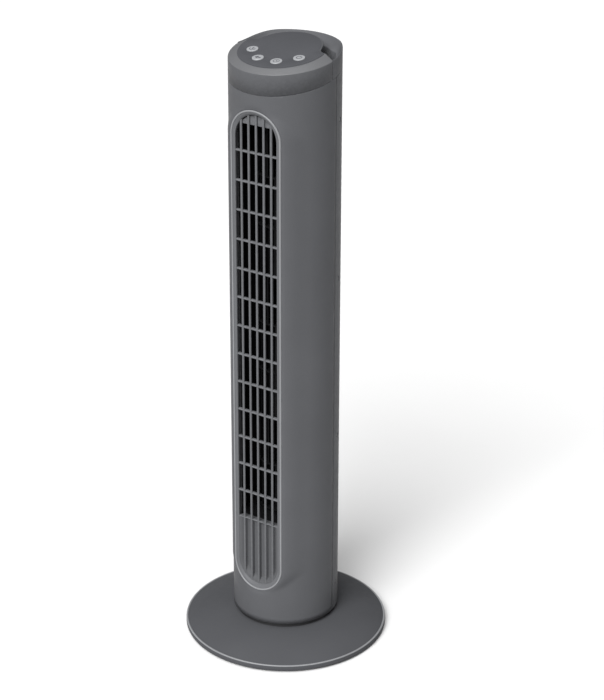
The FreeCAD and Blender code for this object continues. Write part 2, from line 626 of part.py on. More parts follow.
def make_electrics():
    node("power_board", box("power_board", ("-30", "-46", "60"), ("60", "1.6", "34")))
    node("run_capacitor", box("run_capacitor", ("-18", "-44.4", "64"), ("32", "14", "24")))
    floor_z = "tower_bottom_z + plate_thick"
    node("board_stand", box("board_stand", ("-34", "-48", floor_z), ("68", "8", f"60 - ({floor_z})")))
    flange = cylinder("bush_flange", "8.5", "2.5", ("0", "tower_r + 2.5", "cord_z"), X_AXIS, "90")
    neck = cylinder("bush_neck", "6", "10", ("0", "tower_r + 1", "cord_z"), X_AXIS, "90")
    collar = cylinder("bush_collar", "8", "3", ("0", "tower_r - 4.2", "cord_z"), X_AXIS, "90")
    hole = cylinder("bush_cord_hole", "cord_bore_r", "40", ("0", "tower_r + 20", "cord_z"), X_AXIS, "90")
    node("cord_bushing", cut("cord_bushing", fuse("bush_body", flange, neck, collar), hole))
    channel = box("channel_blank", ("channel_x", "channel_y", "60"), ("7", "6", "690"))
    room = box("channel_room", ("channel_x + 1.2", "channel_y + 1.2", "50"), ("4.6", "3.6", "720"))
    node("wire_channel", cut("wire_channel", channel, room))


# ---- cap: bevelled top, control panel, handle --------------------------------------------

def plan_core(name, low_z, height):
    """The part of the cap in front of the handle: the front plan and the rear lobe."""
    front = prism(name + "_front", [
        ("-notch_rim_x", "-80"), ("notch_rim_x", "-80"), ("notch_rim_x", "notch_rim_y"),
        ("notch_x", "notch_y"), ("-notch_x", "notch_y"), ("-notch_rim_x", "notch_rim_y")], low_z, height)
    lobe = cylinder(name + "_lobe", "lobe_r", height, ("0", "0", low_z))
    return fuse(name, front, lobe)


def button_places():
    yield "button_oscillate", "-outer_button_x", "outer_button_y"
    yield "button_speed", "-inner_button_x", "inner_button_y"
    yield "button_timer", "inner_button_x", "inner_button_y"
    yield "button_power", "outer_button_x", "outer_button_y"


def on_panel(x, y, lift):
    """A point at x, y in plan, lifted off the tilted panel plane along its normal."""
    height = f"panel_z + ({y}) * tan(panel_tilt) + ({lift}) * cos(panel_tilt)"
    return x, f"({y}) - ({lift}) * sin(panel_tilt)", height


def panel_rod(name, radius, x, y, low, height):
    """A cylinder square to the panel plane, from a lift of low and over a height."""
    return cylinder(name, radius, height, on_panel(x, y, low), X_AXIS, "panel_tilt")


def button_holes(name):
    return fuse(name, *[panel_rod(f"{name}_{k}", "button_hole_r", x, y, "-12", "20")
                        for k, (_, x, y) in enumerate(button_places())])


def cap_rear():
    """The grip bar behind the handle and the thin walls that join it to the front of the cap."""
    round_r, wall_r = "tower_r", "tower_r - tower_wall - 0.2"
    bar = common("cap_bar_rear", ring("cap_bar", round_r, "bar_inner_r", "760", "60"),
                 box("cap_bar_side", ("-80", "bar_side_y", "750"), ("160", "60", "80")))
    wall = common("cap_wall_rear", ring("cap_wall", round_r, wall_r, "760", "60"),
                  box("cap_wall_side", ("-80", "notch_rim_y", "750"), ("160", "80", "80")))
    reach = "(tower_r + 50)"
    funnel = cone("cap_funnel", "1", f"1 + {reach}", f"{reach} * tan(handle_slope)",
                  ("0", "0", "rim_z - (tower_r + 0.5) * tan(handle_slope)"), X_AXIS, "rim_tilt")
    return cut("cap_rear", fuse("cap_rear_blank", bar, wall), funnel)


def cap_collar():
    """The lip under the cap's front that fits inside the front shell."""
    lip = ring("collar_ring", "tower_r - tower_wall - 0.15", "tower_r - tower_wall - 2.4", "740", "90")
    band = tilted_slab("collar_slab", "seam_z + 6", "seam_tilt", "13", "120")
    return common("cap_collar", lip, band, box("collar_front", ("-80", "-80", "740"), ("160", "80", "90")))


def make_cap():
    drop = "30"
    spread = f"plateau_r + {drop} / tan(bevel_slope)"
    bevel = cone("cap_bevel", spread, "plateau_r", drop, on_panel("0", "plateau_y", f"-{drop}"),
                 X_AXIS, "panel_tilt")
    under = cylinder("cap_bevel_low", "150", "80", on_panel("0", "0", f"-80 - {drop} + 0.01"),
                     X_AXIS, "panel_tilt")
    blank = common("cap_blank", cylinder("cap_round", "tower_r", "90", ("0", "0", "740")),
                   fuse("cap_envelope", bevel, under))
    room_round = cylinder("cap_room_round", "tower_r - tower_wall - 0.2", "90", ("0", "0", "740"))
    room = common("cap_room", room_round,
                  tilted_slab("cap_room_slab", "panel_z - deck_thick", "panel_tilt", "90"))
    front = cut("cap_front", common("cap_front_blank", blank, plan_core("cap_core", "740", "90")), room)
    below = tilted_slab("cap_below", "seam_z + seam_gap / 2", "seam_tilt", "80", "120")
    upper = cut("cap_upper", fuse("cap_joined", front, cap_rear()), below)
    pocket = common("overlay_pocket", plan_core("overlay_core", "740", "110"),
                    panel_rod("overlay_round", "overlay_r", "0", "plateau_y", "-overlay_thick", "30"))
    tools = fuse("cap_tools", pocket, button_holes("cap_button_holes"))
    node("top_cap", cut("top_cap", fuse("cap_solid", upper, cap_collar()), tools))


def make_panel():
    disc = panel_rod("overlay_disc", "overlay_r - 0.1", "0", "plateau_y", "-overlay_thick", "overlay_thick")
    overlay = common("overlay_blank", plan_core("overlay_plan", "740", "110"), disc)
    node("control_panel", cut("control_panel", overlay, button_holes("panel_button_holes")))


def tub_plan(name, low_z, height, thickness):
    """The handle's room in plan: it follows the cap's edge, set in by a thickness on the front."""
    radius = f"(lobe_r - 2.5 - {thickness})"
    side = [("66", f"notch_rim_y + 6 - {thickness}"), ("notch_x - 2", f"notch_y + 2 - {thickness}"),
            polar(radius, "28"), polar(radius, "44")]
    mirrored = [(f"-({x})", y) for x, y in side]
    return prism(name, mirrored + side[::-1] + [("80", "90"), ("-80", "90")], low_z, height)


def make_handle_tub():
    under_deck = tilted_slab("tub_top", "panel_z - deck_thick - 0.1", "panel_tilt", "90", "120")
    sides = box("tub_side_room", ("-70", "-10", "740"), ("140", "bar_side_y + 9.8", "90"))
    middle = box("tub_middle_room", ("-44", "-10", "740"), ("88", "grip_front_y + 14", "90"))
    outside = cylinder("tub_round", "tower_r - tower_wall - 2.7", "90", ("0", "0", "grip_low_z - 3"))
    blank = common("tub_blank", outside, tub_plan("tub_plan", "grip_low_z - 3", "80", "2"), under_deck)
    above = cylinder("tub_bar_room", "200", "200", ("0", "0", "seam_z - 0.5"), X_AXIS, "seam_tilt")
    high = cut("tub_high", blank, above)
    front_wall = common("tub_front", blank, fuse("tub_front_room", sides, middle))
    inside = cylinder("tub_inner_round", "tower_r - tower_wall - 4.5", "120", ("0", "0", "grip_low_z - 1"))
    room = common("tub_room", tub_plan("tub_inner", "grip_low_z", "90", "0"), inside)
    door = box("tub_door", ("-grip_half + 0.5", "grip_front_y + 10", "grip_low_z + 0.5"),
               ("2 * grip_half - 1", "60", "60"))
    node("handle_tub", cut("handle_tub", fuse("tub_solid", high, front_wall), fuse("tub_tools", room, door)))


def make_buttons():
    for name, x, y in button_places():
        low = "(overlay_thick + 1.4)"
        head = panel_rod(name + "_head", "button_r", x, y, f"-{low}", f"{low} + button_proud")
        stem = panel_rod(name + "_stem", "2", x, y, "-stem_length", "stem_length")
        node(name, fuse(name, head, stem))


def board_screw_places():
    for x in ("-board_screw_x", "board_screw_x"):
        yield x, "board_screw_y"


def make_controls():
    board = box("board_blank", on_panel("-46", "-43", "-board_depth"), ("92", "34", "1.6"),
                X_AXIS, "panel_tilt")
    holes = [panel_rod(f"board_hole_{k}", "screw_r", x, y, "-20", "12")
             for k, (x, y) in enumerate(board_screw_places())]
    node("control_board", cut("control_board", board, fuse("board_holes", *holes)))
    board_top = "(board_depth - 1.6)"
    switches = [panel_rod(f"switch_case_{k}", "3.2", x, y, f"-{board_top}",
                          f"{board_top} - stem_length - button_travel - 0.15")
                for k, (_, x, y) in enumerate(button_places())]
    node("tact_switches", group("tact_switches", switches))
    legs = [panel_rod(f"board_leg_{k}", "2.5", x, y, f"-{board_top}", f"{board_top} - deck_thick")
            for k, (x, y) in enumerate(board_screw_places())]
    node("board_pillars", group("board_pillars", legs))
    screws = [screw(f"board_screw_{k}", on_panel(x, y, "-board_depth - screw_head_h"),
                    X_AXIS, "180 + panel_tilt", "1.6")
              for k, (x, y) in enumerate(board_screw_places())]
    node("board_screws", group("board_screws", screws))


make_base_shell()
make_swivel()
make_swing_gears()
make_tower_floor()
make_swing_motor()
make_front_shell()
make_rear_cover()
make_bezel()
make_grille()
make_duct()
make_scroll()
make_impeller()
make_motor()
make_electrics()
make_cap()
make_panel()
make_handle_tub()
make_buttons()
make_controls()
doc.recompute()

for item in doc.Objects:
    if "Invalid" in item.State or "Error" in item.State:
        raise RuntimeError(f"{item.Label} failed: {item.State}")
os.makedirs("parts", exist_ok=True)
for item in NODES:
    shape = item.Shape
    if shape.isNull() or not shape.isValid():
        raise RuntimeError(f"{item.Label} has no valid shape")
    shape.exportStep(f"parts/{item.Label}.step")
    print(f"{item.Label:20s} {len(shape.Solids):3d} solids {shape.Volume / 1000:9.2f} cm3")
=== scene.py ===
import math

import bmesh
import bpy
from mathutils import Matrix, Vector
from mathutils.geometry import delaunay_2d_cdt


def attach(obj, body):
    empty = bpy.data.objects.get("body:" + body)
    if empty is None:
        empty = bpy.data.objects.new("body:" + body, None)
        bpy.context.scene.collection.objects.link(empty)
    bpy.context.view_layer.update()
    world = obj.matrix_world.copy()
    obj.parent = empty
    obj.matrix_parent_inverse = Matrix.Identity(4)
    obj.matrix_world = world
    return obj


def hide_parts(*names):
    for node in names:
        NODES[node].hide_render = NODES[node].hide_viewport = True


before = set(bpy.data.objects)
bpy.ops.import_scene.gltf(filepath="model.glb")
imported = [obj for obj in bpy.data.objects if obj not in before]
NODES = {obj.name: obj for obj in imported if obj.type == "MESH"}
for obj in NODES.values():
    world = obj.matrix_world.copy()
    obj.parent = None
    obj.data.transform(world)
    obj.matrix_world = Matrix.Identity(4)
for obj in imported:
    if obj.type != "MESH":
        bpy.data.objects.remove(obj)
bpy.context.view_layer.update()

MM = 0.001

# Sizes in millimetres, as in the CAD model. The front faces -Y.
TOWER_R = 70.0
TOWER_LOW_Z = 34.0
SHELL_HALF_ANGLE, SIDE_GAP = 97.0, 0.5
WALL = 2.4
SEAM_Z, SEAM_TILT, SEAM_HALF_GAP = 776.0, math.radians(10.5), 0.25
OUTER_HALF, OUTER_LOW_Z, OUTER_HIGH_Z = 37.0, 117.0, 706.0
INNER_HALF, INNER_LOW_Z, INNER_HIGH_Z = 30.5, 118.0, 705.0
FRAME_R, FRAME_Y = 170.0, 68.6
SWELL_ACROSS, SWELL_UP = 34.0, 6.5
GRILLE_Y = -64.4
BAR_PITCH, BAR_WIDTH, BAR_DEPTH, BAR_ROUND = 11.0, 3.0, 2.6, 1.0
RIB_TOP_Z, RIB_PITCH, RIB_THICK, RIB_COUNT, RIB_DEPTH = 686.4, 39.0, 2.6, 13, 5.0
FOOT_RIB_RISE, FOOT_RIB_THICK = 0.6, 1.3
HEAD_PLATE_Z, FLUTE_TOP_Z, FLUTE_DEPTH, FLUTE_FLANK = 721.5, 179.0, 3.2, 0.1
PANEL_Z, PANEL_TILT = 805.3, math.radians(9.0)
PLATEAU_R, PLATEAU_Y, BEVEL_SLOPE = 57.2, -4.0, math.radians(24.0)
LOBE_R = 46.0
LIP_DROP, DECK_WALL = 0.5, 2.2
FILM_R, FILM_THICK = 56.0, 0.5
NOTCH = (45.5, 6.6)
NOTCH_OUT = (80.0, -3.4)
SCOOP_FALL = 9.0
# The grip bar's inner radius beside the notches, how far it widens, and over which degrees.
GRIP_SIDE_R, GRIP_WIDEN, GRIP_WIDEN_FROM, GRIP_WIDEN_OVER = 61.5, 5.5, 34, 14
TUB_TOP_Z, TUB_TOP_TILT = 791.0, math.radians(6.6)
RIM_LOW_Z, RIM_RISE, RIM_START_Y, RIM_REACH = 800.8, 7.2, 4.0, 50.0
BASE_R, NECK_R, NECK_Z, DOME_FALL = 135.0, 66.1, 27.5, 18.2
BASE_BORE_R, BASE_SKIN, FOOT_CIRCLE_R = 20.06, 3.0, 117
BUTTON_R = 7.4
BUTTON_HOLE_R = 7.7
INK_LOW, INK_HIGH = 0.55, 0.73
BUTTONS = {"button_oscillate": (-34.0, -20.5), "button_speed": (-13.4, -39.0),
           "button_timer": (13.4, -39.0), "button_power": (34.0, -20.5)}


# ---- materials ---------------------------------------------------------------------------

class Nodes:
    """Builds a material's node tree in a few short calls."""

    def __init__(self, name):
        self.material = bpy.data.materials.new(name)
        self.material.use_nodes = True
        self.tree = self.material.node_tree
        self.shader = self.tree.nodes["Principled BSDF"]
        self.place = self.add("ShaderNodeTexCoord").outputs["Object"]

    def add(self, kind, **settings):
        node = self.tree.nodes.new(kind)
        for key, value in settings.items():
            setattr(node, key, value)
        return node

    def link(self, source, target):
        self.tree.links.new(source, target)

    def noise(self, scale, detail=3.0, roughness=0.5, stretch=None):
        node = self.add("ShaderNodeTexNoise")
        node.inputs["Scale"].default_value = scale
        node.inputs["Detail"].default_value = detail
        node.inputs["Roughness"].default_value = roughness
        place = self.place
        if stretch:
            mapping = self.add("ShaderNodeMapping")
            mapping.inputs["Scale"].default_value = stretch
            self.link(place, mapping.inputs["Vector"])
            place = mapping.outputs["Vector"]
        self.link(place, node.inputs["Vector"])
        return node.outputs["Fac"]

    def cells(self, scale):
        node = self.add("ShaderNodeTexVoronoi", feature="SMOOTH_F1")
        node.inputs["Scale"].default_value = scale
        self.link(self.place, node.inputs["Vector"])
        return node.outputs["Distance"]

    def ramp(self, source, low, high, from_low=0.3, from_high=0.7):
        node = self.add("ShaderNodeMapRange")
        limits = {"From Min": from_low, "From Max": from_high, "To Min": low, "To Max": high}
        for key, value in limits.items():
            node.inputs[key].default_value = value
        self.link(source, node.inputs["Value"])
        return node.outputs["Result"]

    def mix(self, factor, first, second):
        node = self.add("ShaderNodeMix", data_type="RGBA")
        self.link(factor, node.inputs["Factor"])
        for socket, value in ((node.inputs[6], first), (node.inputs[7], second)):
            if hasattr(value, "is_output"):
                self.link(value, socket)
            else:
                socket.default_value = (*value, 1.0)
        return node.outputs[2]

    def bump(self, heights, distance=0.0001):
        """Stacks bumps from (height, strength) pairs and joins them to the shader."""
        normal = None
        for height, strength in heights:
            node = self.add("ShaderNodeBump")
            node.inputs["Strength"].default_value = strength
            node.inputs["Distance"].default_value = distance
            self.link(height, node.inputs["Height"])
            if normal:
                self.link(normal, node.inputs["Normal"])
            normal = node.outputs["Normal"]
        self.link(normal, self.shader.inputs["Normal"])

    def edges(self, low=0.52, high=0.6):
        """1 on convex edges, 0 elsewhere, from the mesh's pointiness."""
        geometry = self.add("ShaderNodeNewGeometry")
        return self.ramp(geometry.outputs["Pointiness"], 0.0, 1.0, low, high)


def tint(colour, factor):
    return tuple(min(1.0, channel * factor) for channel in colour)


def moulded(name, colour, rough=(0.42, 0.52), grain=0.25, grain_scale=2600.0, wear=0.25, specular=0.5):
    """Moulded plastic: spark-eroded grain, faint flow marks and edges rubbed a little lighter."""
    m = Nodes(name)
    broad = m.noise(14.0, 4.0)
    speck = m.noise(grain_scale * 0.35, 2.0)
    shade = m.mix(m.ramp(broad, 0.0, 1.0), tint(colour, 0.955), tint(colour, 1.045))
    shade = m.mix(m.ramp(speck, 0.0, 0.35), shade, tint(colour, 1.12))
    worn = m.add("ShaderNodeMath", operation="MULTIPLY")
    m.link(m.edges(), worn.inputs[0])
    m.link(m.ramp(m.noise(260.0, 4.0, 0.7), 0.0, wear, 0.4, 0.65), worn.inputs[1])
    shade = m.mix(worn.outputs[0], shade, tint(colour, 1.9))
    m.link(shade, m.shader.inputs["Base Color"])
    m.link(m.ramp(m.noise(90.0, 5.0, 0.6), *rough), m.shader.inputs["Roughness"])
    m.shader.inputs["Specular IOR Level"].default_value = specular
    m.bump([(m.cells(grain_scale), grain), (m.noise(grain_scale * 0.6, 3.0), grain * 0.6),
            (m.noise(9.0, 2.0), 0.05)], 0.00006)
    return m.material


def rubber(name, colour):
    m = Nodes(name)
    m.link(m.mix(m.ramp(m.noise(160.0, 5.0), 0.0, 1.0), tint(colour, 0.8), tint(colour, 1.4)),
           m.shader.inputs["Base Color"])
    m.link(m.ramp(m.noise(400.0), 0.68, 0.85), m.shader.inputs["Roughness"])
    m.bump([(m.noise(1800.0, 4.0), 0.5)])
    return m.material


def metal(name, colour, rough=(0.25, 0.42), brushed=(1.0, 1.0, 14.0)):
    m = Nodes(name)
    brush = m.noise(500.0, 4.0, 0.6, brushed)
    m.link(m.mix(m.ramp(brush, 0.0, 1.0), tint(colour, 0.8), tint(colour, 1.1)),
           m.shader.inputs["Base Color"])
    m.link(m.ramp(m.noise(120.0, 4.0), *rough), m.shader.inputs["Roughness"])
    m.shader.inputs["Metallic"].default_value = 1.0
    m.bump([(brush, 0.25)], 0.00003)
    return m.material


def laminated(name, colour):
    """Pressed steel sheets: fine dark lines along Z."""
    m = Nodes(name)
    wave = m.add("ShaderNodeTexWave", bands_direction="Z")
    wave.inputs["Scale"].default_value = 320.0
    m.link(m.place, wave.inputs["Vector"])
    m.link(m.mix(wave.outputs["Fac"], tint(colour, 0.5), colour), m.shader.inputs["Base Color"])
    m.link(m.ramp(m.noise(200.0), 0.4, 0.6), m.shader.inputs["Roughness"])
    m.shader.inputs["Metallic"].default_value = 0.9
    m.bump([(wave.outputs["Fac"], 0.5)])
    return m.material


def wound(name, colour):
    """Enamelled wire, wound round and round."""
    m = Nodes(name)
    wave = m.add("ShaderNodeTexWave", bands_direction="Z")
    wave.inputs["Scale"].default_value = 260.0
    wave.inputs["Distortion"].default_value = 3.0
    m.link(m.place, wave.inputs["Vector"])
    m.link(m.mix(wave.outputs["Fac"], tint(colour, 0.45), colour), m.shader.inputs["Base Color"])
    m.link(m.ramp(m.noise(200.0), 0.25, 0.4), m.shader.inputs["Roughness"])
    m.shader.inputs["Metallic"].default_value = 0.6
    m.bump([(wave.outputs["Fac"], 0.7)], 0.0002)
    return m.material


def circuit(name, colour):
    """Solder mask with faint copper tracks beneath it."""
    m = Nodes(name)
    brick = m.add("ShaderNodeTexBrick")
    brick.inputs["Scale"].default_value = 160.0
    brick.inputs["Color1"].default_value = (*colour, 1.0)
    brick.inputs["Color2"].default_value = (*tint(colour, 1.3), 1.0)
    brick.inputs["Mortar"].default_value = (*tint(colour, 2.2), 1.0)
    m.link(m.place, brick.inputs["Vector"])
    m.link(brick.outputs["Color"], m.shader.inputs["Base Color"])
    m.link(m.ramp(m.noise(300.0), 0.25, 0.4), m.shader.inputs["Roughness"])
    m.bump([(brick.outputs["Fac"], 0.3)])
    return m.material


def printed(name, colour):
    """Matte ink on a button cap."""
    m = Nodes(name)
    m.link(m.mix(m.ramp(m.noise(900.0), 0.0, 1.0), tint(colour, 0.85), tint(colour, 1.15)),
           m.shader.inputs["Base Color"])
    m.link(m.ramp(m.noise(1500.0), 0.5, 0.65), m.shader.inputs["Roughness"])
    m.bump([(m.noise(3000.0), 0.2)], 0.00003)
    return m.material


SHELL_GREY = moulded("shell_grey", (0.071, 0.0725, 0.0773), specular=0.07)
# A lighter, glossier copy of the shell grey for the cap's bevel: a painted highlight on the band that faces
# up and out.
BEVEL_PAINTED_HIGHLIGHT = moulded("bevel_painted_highlight", (0.092, 0.0935, 0.098), rough=(0.36, 0.46), specular=0.3)
BASE_GREY = moulded("base_grey", (0.053, 0.0543, 0.0585), rough=(0.5, 0.6), grain=0.3, specular=0.06)
GRILLE_GREY = moulded("outlet_grey", (0.088, 0.09, 0.095), rough=(0.4, 0.5), grain=0.15, wear=0.35,
                      specular=0.1)
FLUTE_GREY = moulded("flute_grey", (0.07, 0.0715, 0.0755), rough=(0.4, 0.5), grain=0.15, wear=0.35,
                     specular=0.06)
# Lighter grey for the bezel's bead and the base's rim ring: a painted highlight on these rounded edges.
PAINTED_HIGHLIGHT_GREY = moulded("bead_painted_highlight", (0.17, 0.173, 0.18), rough=(0.36, 0.46), grain=0.12, wear=0.2,
                    specular=0.3)
PANEL_FILM = moulded("panel_film", (0.055, 0.0563, 0.0615), rough=(0.5, 0.58), grain=0.35,
                     grain_scale=3400.0, wear=0.1, specular=0.04)
BUTTON_GREY = moulded("button_cap", (0.24, 0.245, 0.255), rough=(0.3, 0.4), grain=0.1, wear=0.1)
INK = printed("icon_ink", (0.055, 0.057, 0.065))
# Black plastic for the swivel seat and inner parts; on the handle's tub the same black is painted shade for
# the deep hole.
BLACK_AND_PAINTED_SHADE = moulded("black_plastic", (0.012, 0.012, 0.013), rough=(0.5, 0.62), grain=0.3)
DEEP_BLACK = moulded("duct_black", (0.0035, 0.0035, 0.004), rough=(0.7, 0.85), grain=0.2, wear=0.0,
                     specular=0.15)
ACETAL = moulded("acetal", (0.62, 0.6, 0.55), rough=(0.3, 0.42), grain=0.05)
RUBBER = rubber("black_rubber", (0.012, 0.012, 0.013))
ZINC = metal("zinc_steel", (0.5, 0.5, 0.52))
SHAFT = metal("shaft_steel", (0.55, 0.55, 0.56), brushed=(8.0, 8.0, 1.0))
MOTOR_PAINT = moulded("motor_paint", (0.05, 0.05, 0.055), rough=(0.35, 0.5), grain=0.2)
STEEL_SHEETS = laminated("laminations", (0.22, 0.22, 0.23))
COPPER = wound("copper_wire", (0.5, 0.2, 0.09))
BRONZE = metal("sintered_bronze", (0.5, 0.34, 0.17), rough=(0.4, 0.55))
BOARD = circuit("circuit_board", (0.02, 0.12, 0.05))
COMPONENT = moulded("component_black", (0.02, 0.02, 0.022), rough=(0.25, 0.38), grain=0.1)

FINISHES = {
    SHELL_GREY: ("bottom_plate", "rear_cover"),
    # On handle_tub this black is painted shade.
    BLACK_AND_PAINTED_SHADE: ("swivel_seat", "handle_tub", "board_stand", "wire_channel"),
    DEEP_BLACK: ("duct_floor", "duct_roof", "scroll_wall", "vortex_tongue", "impeller_segments",
                 "impeller_end_cap"),
    ACETAL: ("swing_gear", "swing_pinion", "board_pillars"),
    RUBBER: ("base_feet", "cord_bushing"),
    ZINC: ("base_screws", "retainer_screws", "swing_motor_screws", "motor_screws", "board_screws",
           "motor_spacers", "pivot_retainer"),
    SHAFT: ("drive_shaft", "impeller_hub"),
    MOTOR_PAINT: ("motor_shield_lower", "motor_shield_upper", "swing_motor", "cover_screws"),
    STEEL_SHEETS: ("motor_stator", "motor_rotor"),
    COPPER: ("motor_windings",),
    BRONZE: ("motor_bushes", "top_bearing"),
    BOARD: ("power_board", "control_board"),
    COMPONENT: ("run_capacitor", "tact_switches"),
}
for finish, names in FINISHES.items():
    for name in names:
        slots = NODES[name].data.materials
        for index in range(len(slots)):
            slots[index] = finish


# ---- mesh helpers ------------------------------------------------------------------------

def add_piece(name, points, faces, body, material, replaces=None, sharp=40.0):
    """A mesh from points in millimetres, given a name and riding on a body."""
    mesh = bpy.data.meshes.new(name)
    mesh.from_pydata([Vector(point) * MM for point in points], [], faces)
    shaped = bmesh.new()
    shaped.from_mesh(mesh)
    bmesh.ops.remove_doubles(shaped, verts=shaped.verts, dist=0.00001)
    bmesh.ops.recalc_face_normals(shaped, faces=shaped.faces)
    shaped.to_mesh(mesh)
    shaped.free()
    mesh.shade_smooth()
    mesh.set_sharp_from_angle(angle=math.radians(sharp))
    mesh.materials.append(material)
    piece = bpy.data.objects.new(name, mesh)
    bpy.context.scene.collection.objects.link(piece)
    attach(piece, body)
    if replaces:
        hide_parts(replaces)
    return piece


def lathe(profile, steps=192):
    """Points and faces of a closed (radius, height) profile turned about Z."""
    points, faces, count = [], [], len(profile)
    for k in range(steps):
        angle = 2 * math.pi * k / steps
        points += [(r * math.cos(angle), r * math.sin(angle), z) for r, z in profile]
    for k in range(steps):
        near, far = k * count, (k + 1) % steps * count
        for i in range(count):
            j = (i + 1) % count
            faces.append((near + i, near + j, far + j, far + i))
    return points, faces


def join_rings(rings, closed_rings=True, closed_path=False, caps=True):
    """Quads between successive rings of points; the path can close on itself or get end caps."""
    count = len(rings[0])
    points = [point for ring in rings for point in ring]
    faces = []
    for k in range(len(rings) if closed_path else len(rings) - 1):
        near, far = k * count, (k + 1) % len(rings) * count
        for i in range(count if closed_rings else count - 1):
            j = (i + 1) % count
            faces.append((near + i, near + j, far + j, far + i))
    if caps and not closed_path:
        faces.append(tuple(reversed(range(count))))
        faces.append(tuple(range(len(points) - count, len(points))))
    return points, faces


def merge(*parts):
    """Joins (points, faces) pairs into one."""
    points, faces = [], []
    for more_points, more_faces in parts:
        shift = len(points)
        points += more_points
        faces += [tuple(index + shift for index in face) for face in more_faces]
    return points, faces


def soft_box(low, high, radius, corner_steps=3):
    """An upright block whose four upright edges and both ends are rounded off."""
    (x0, y0, z0), (x1, y1, z1) = low, high
    rings = []
    for z, inset in ((z0, radius * 0.6), (z0 + radius * 0.3, radius * 0.15), (z0 + radius, 0.0),
                     (z1 - radius, 0.0), (z1 - radius * 0.3, radius * 0.15), (z1, radius * 0.6)):
        ring = []
        for cx, cy, start in ((x1, y1, 0), (x0, y1, 90), (x0, y0, 180), (x1, y0, 270)):
            sx, sy = (1 if cx == x1 else -1), (1 if cy == y1 else -1)
            for step in range(corner_steps + 1):
                angle = math.radians(start + 90 * step / corner_steps)
                reach = radius - inset
                x = cx - sx * radius + reach * math.cos(angle)
                y = cy - sy * radius + reach * math.sin(angle)
                ring.append((x, y, z))
        rings.append(ring)
    return join_rings(rings)


def smooth_step(value):
    value = min(1.0, max(0.0, value))
    return value * value * (3 - 2 * value)


def stadium_loop(half, low_z, high_z, arc_steps=48, side_steps=60):
    """Points (x, z) and outward normals round an upright stadium, clockwise seen from the front."""
    loop = []
    for k in range(arc_steps):
        angle = math.pi - math.pi * k / arc_steps
        nx, nz = math.cos(angle), math.sin(angle)
        loop.append((half * nx, high_z + half * nz, nx, nz))
    for k in range(side_steps):
        loop.append((half, high_z + (low_z - high_z) * k / side_steps, 1.0, 0.0))
    for k in range(arc_steps):
        angle = -math.pi * k / arc_steps
        nx, nz = math.cos(angle), math.sin(angle)
        loop.append((half * nx, low_z + half * nz, nx, nz))
    for k in range(side_steps):
        loop.append((-half, low_z + (high_z - low_z) * k / side_steps, -1.0, 0.0))
    return loop


def stadium_distance(x, z, half, low_z, high_z):
    """Distance outside a stadium's edge; negative inside it."""
    return math.hypot(x, z - min(high_z, max(low_z, z))) - half


def fill_region(loops, inner_points):
    """Triangles over the region inside the first loop and outside the others."""
    flat, edges = [], []
    for loop in loops:
        start = len(flat)
        flat += loop
        edges += [(start + k, start + (k + 1) % len(loop)) for k in range(len(loop))]
    flat += inner_points
    result = delaunay_2d_cdt([Vector(point) for point in flat], edges, [], 1, 0.00001)
    points, triangles = [tuple(point) for point in result[0]], result[2]
    kept = []
    for face in triangles:
        cx = sum(points[i][0] for i in face) / len(face)
        cy = sum(points[i][1] for i in face) / len(face)
        if inside(loops[0], cx, cy) and not any(inside(hole, cx, cy) for hole in loops[1:]):
            kept.append(tuple(face))
    return points, kept


def inside(loop, x, y):
    hit, count = False, len(loop)
    for k in range(count):
        (x0, y0), (x1, y1) = loop[k], loop[(k + 1) % count]
        if (y0 > y) != (y1 > y) and x < (x1 - x0) * (y - y0) / (y1 - y0) + x0:
            hit = not hit
    return hit


def thicken(piece, thickness):
    """Gives an open skin a wall, inwards, in millimetres."""
    wall = piece.modifiers.new("wall", "SOLIDIFY")
    wall.thickness = thickness * MM
    wall.offset = -1.0
    wall.use_even_offset = True


# ---- front shell: a round skin that swells gently up to the bezel -------------------------

def frame_y(x):
    """The front of the outlet's frame, which is flatter than the round tower."""
    return FRAME_R - FRAME_Y - math.sqrt(FRAME_R ** 2 - x * x)


def swell(s, z):
    """How far the shell leaves the round tower to meet the frame, at an arc length s."""
    along = min(OUTER_HIGH_Z, max(OUTER_LOW_Z, z))
    x = TOWER_R * math.sin(min(abs(s), 100.0) / TOWER_R)
    away = max(0.001, math.hypot(x, z - along))
    edge_x, edge_z = OUTER_HALF * x / away, along + OUTER_HALF * (z - along) / away
    if away < OUTER_HALF:
        edge_x, edge_z = x, z
    lift = math.hypot(edge_x, frame_y(edge_x)) - TOWER_R
    across = (min(abs(s), 100.0) - TOWER_R * math.atan2(edge_x, -frame_y(edge_x))) / SWELL_ACROSS
    fade = min(1.0, math.hypot(max(0.0, across), (z - edge_z) / SWELL_UP))
    return lift * 0.5 * (1.0 + math.cos(math.pi * fade))


def seam_height(y):
    return SEAM_Z + math.tan(SEAM_TILT) * y


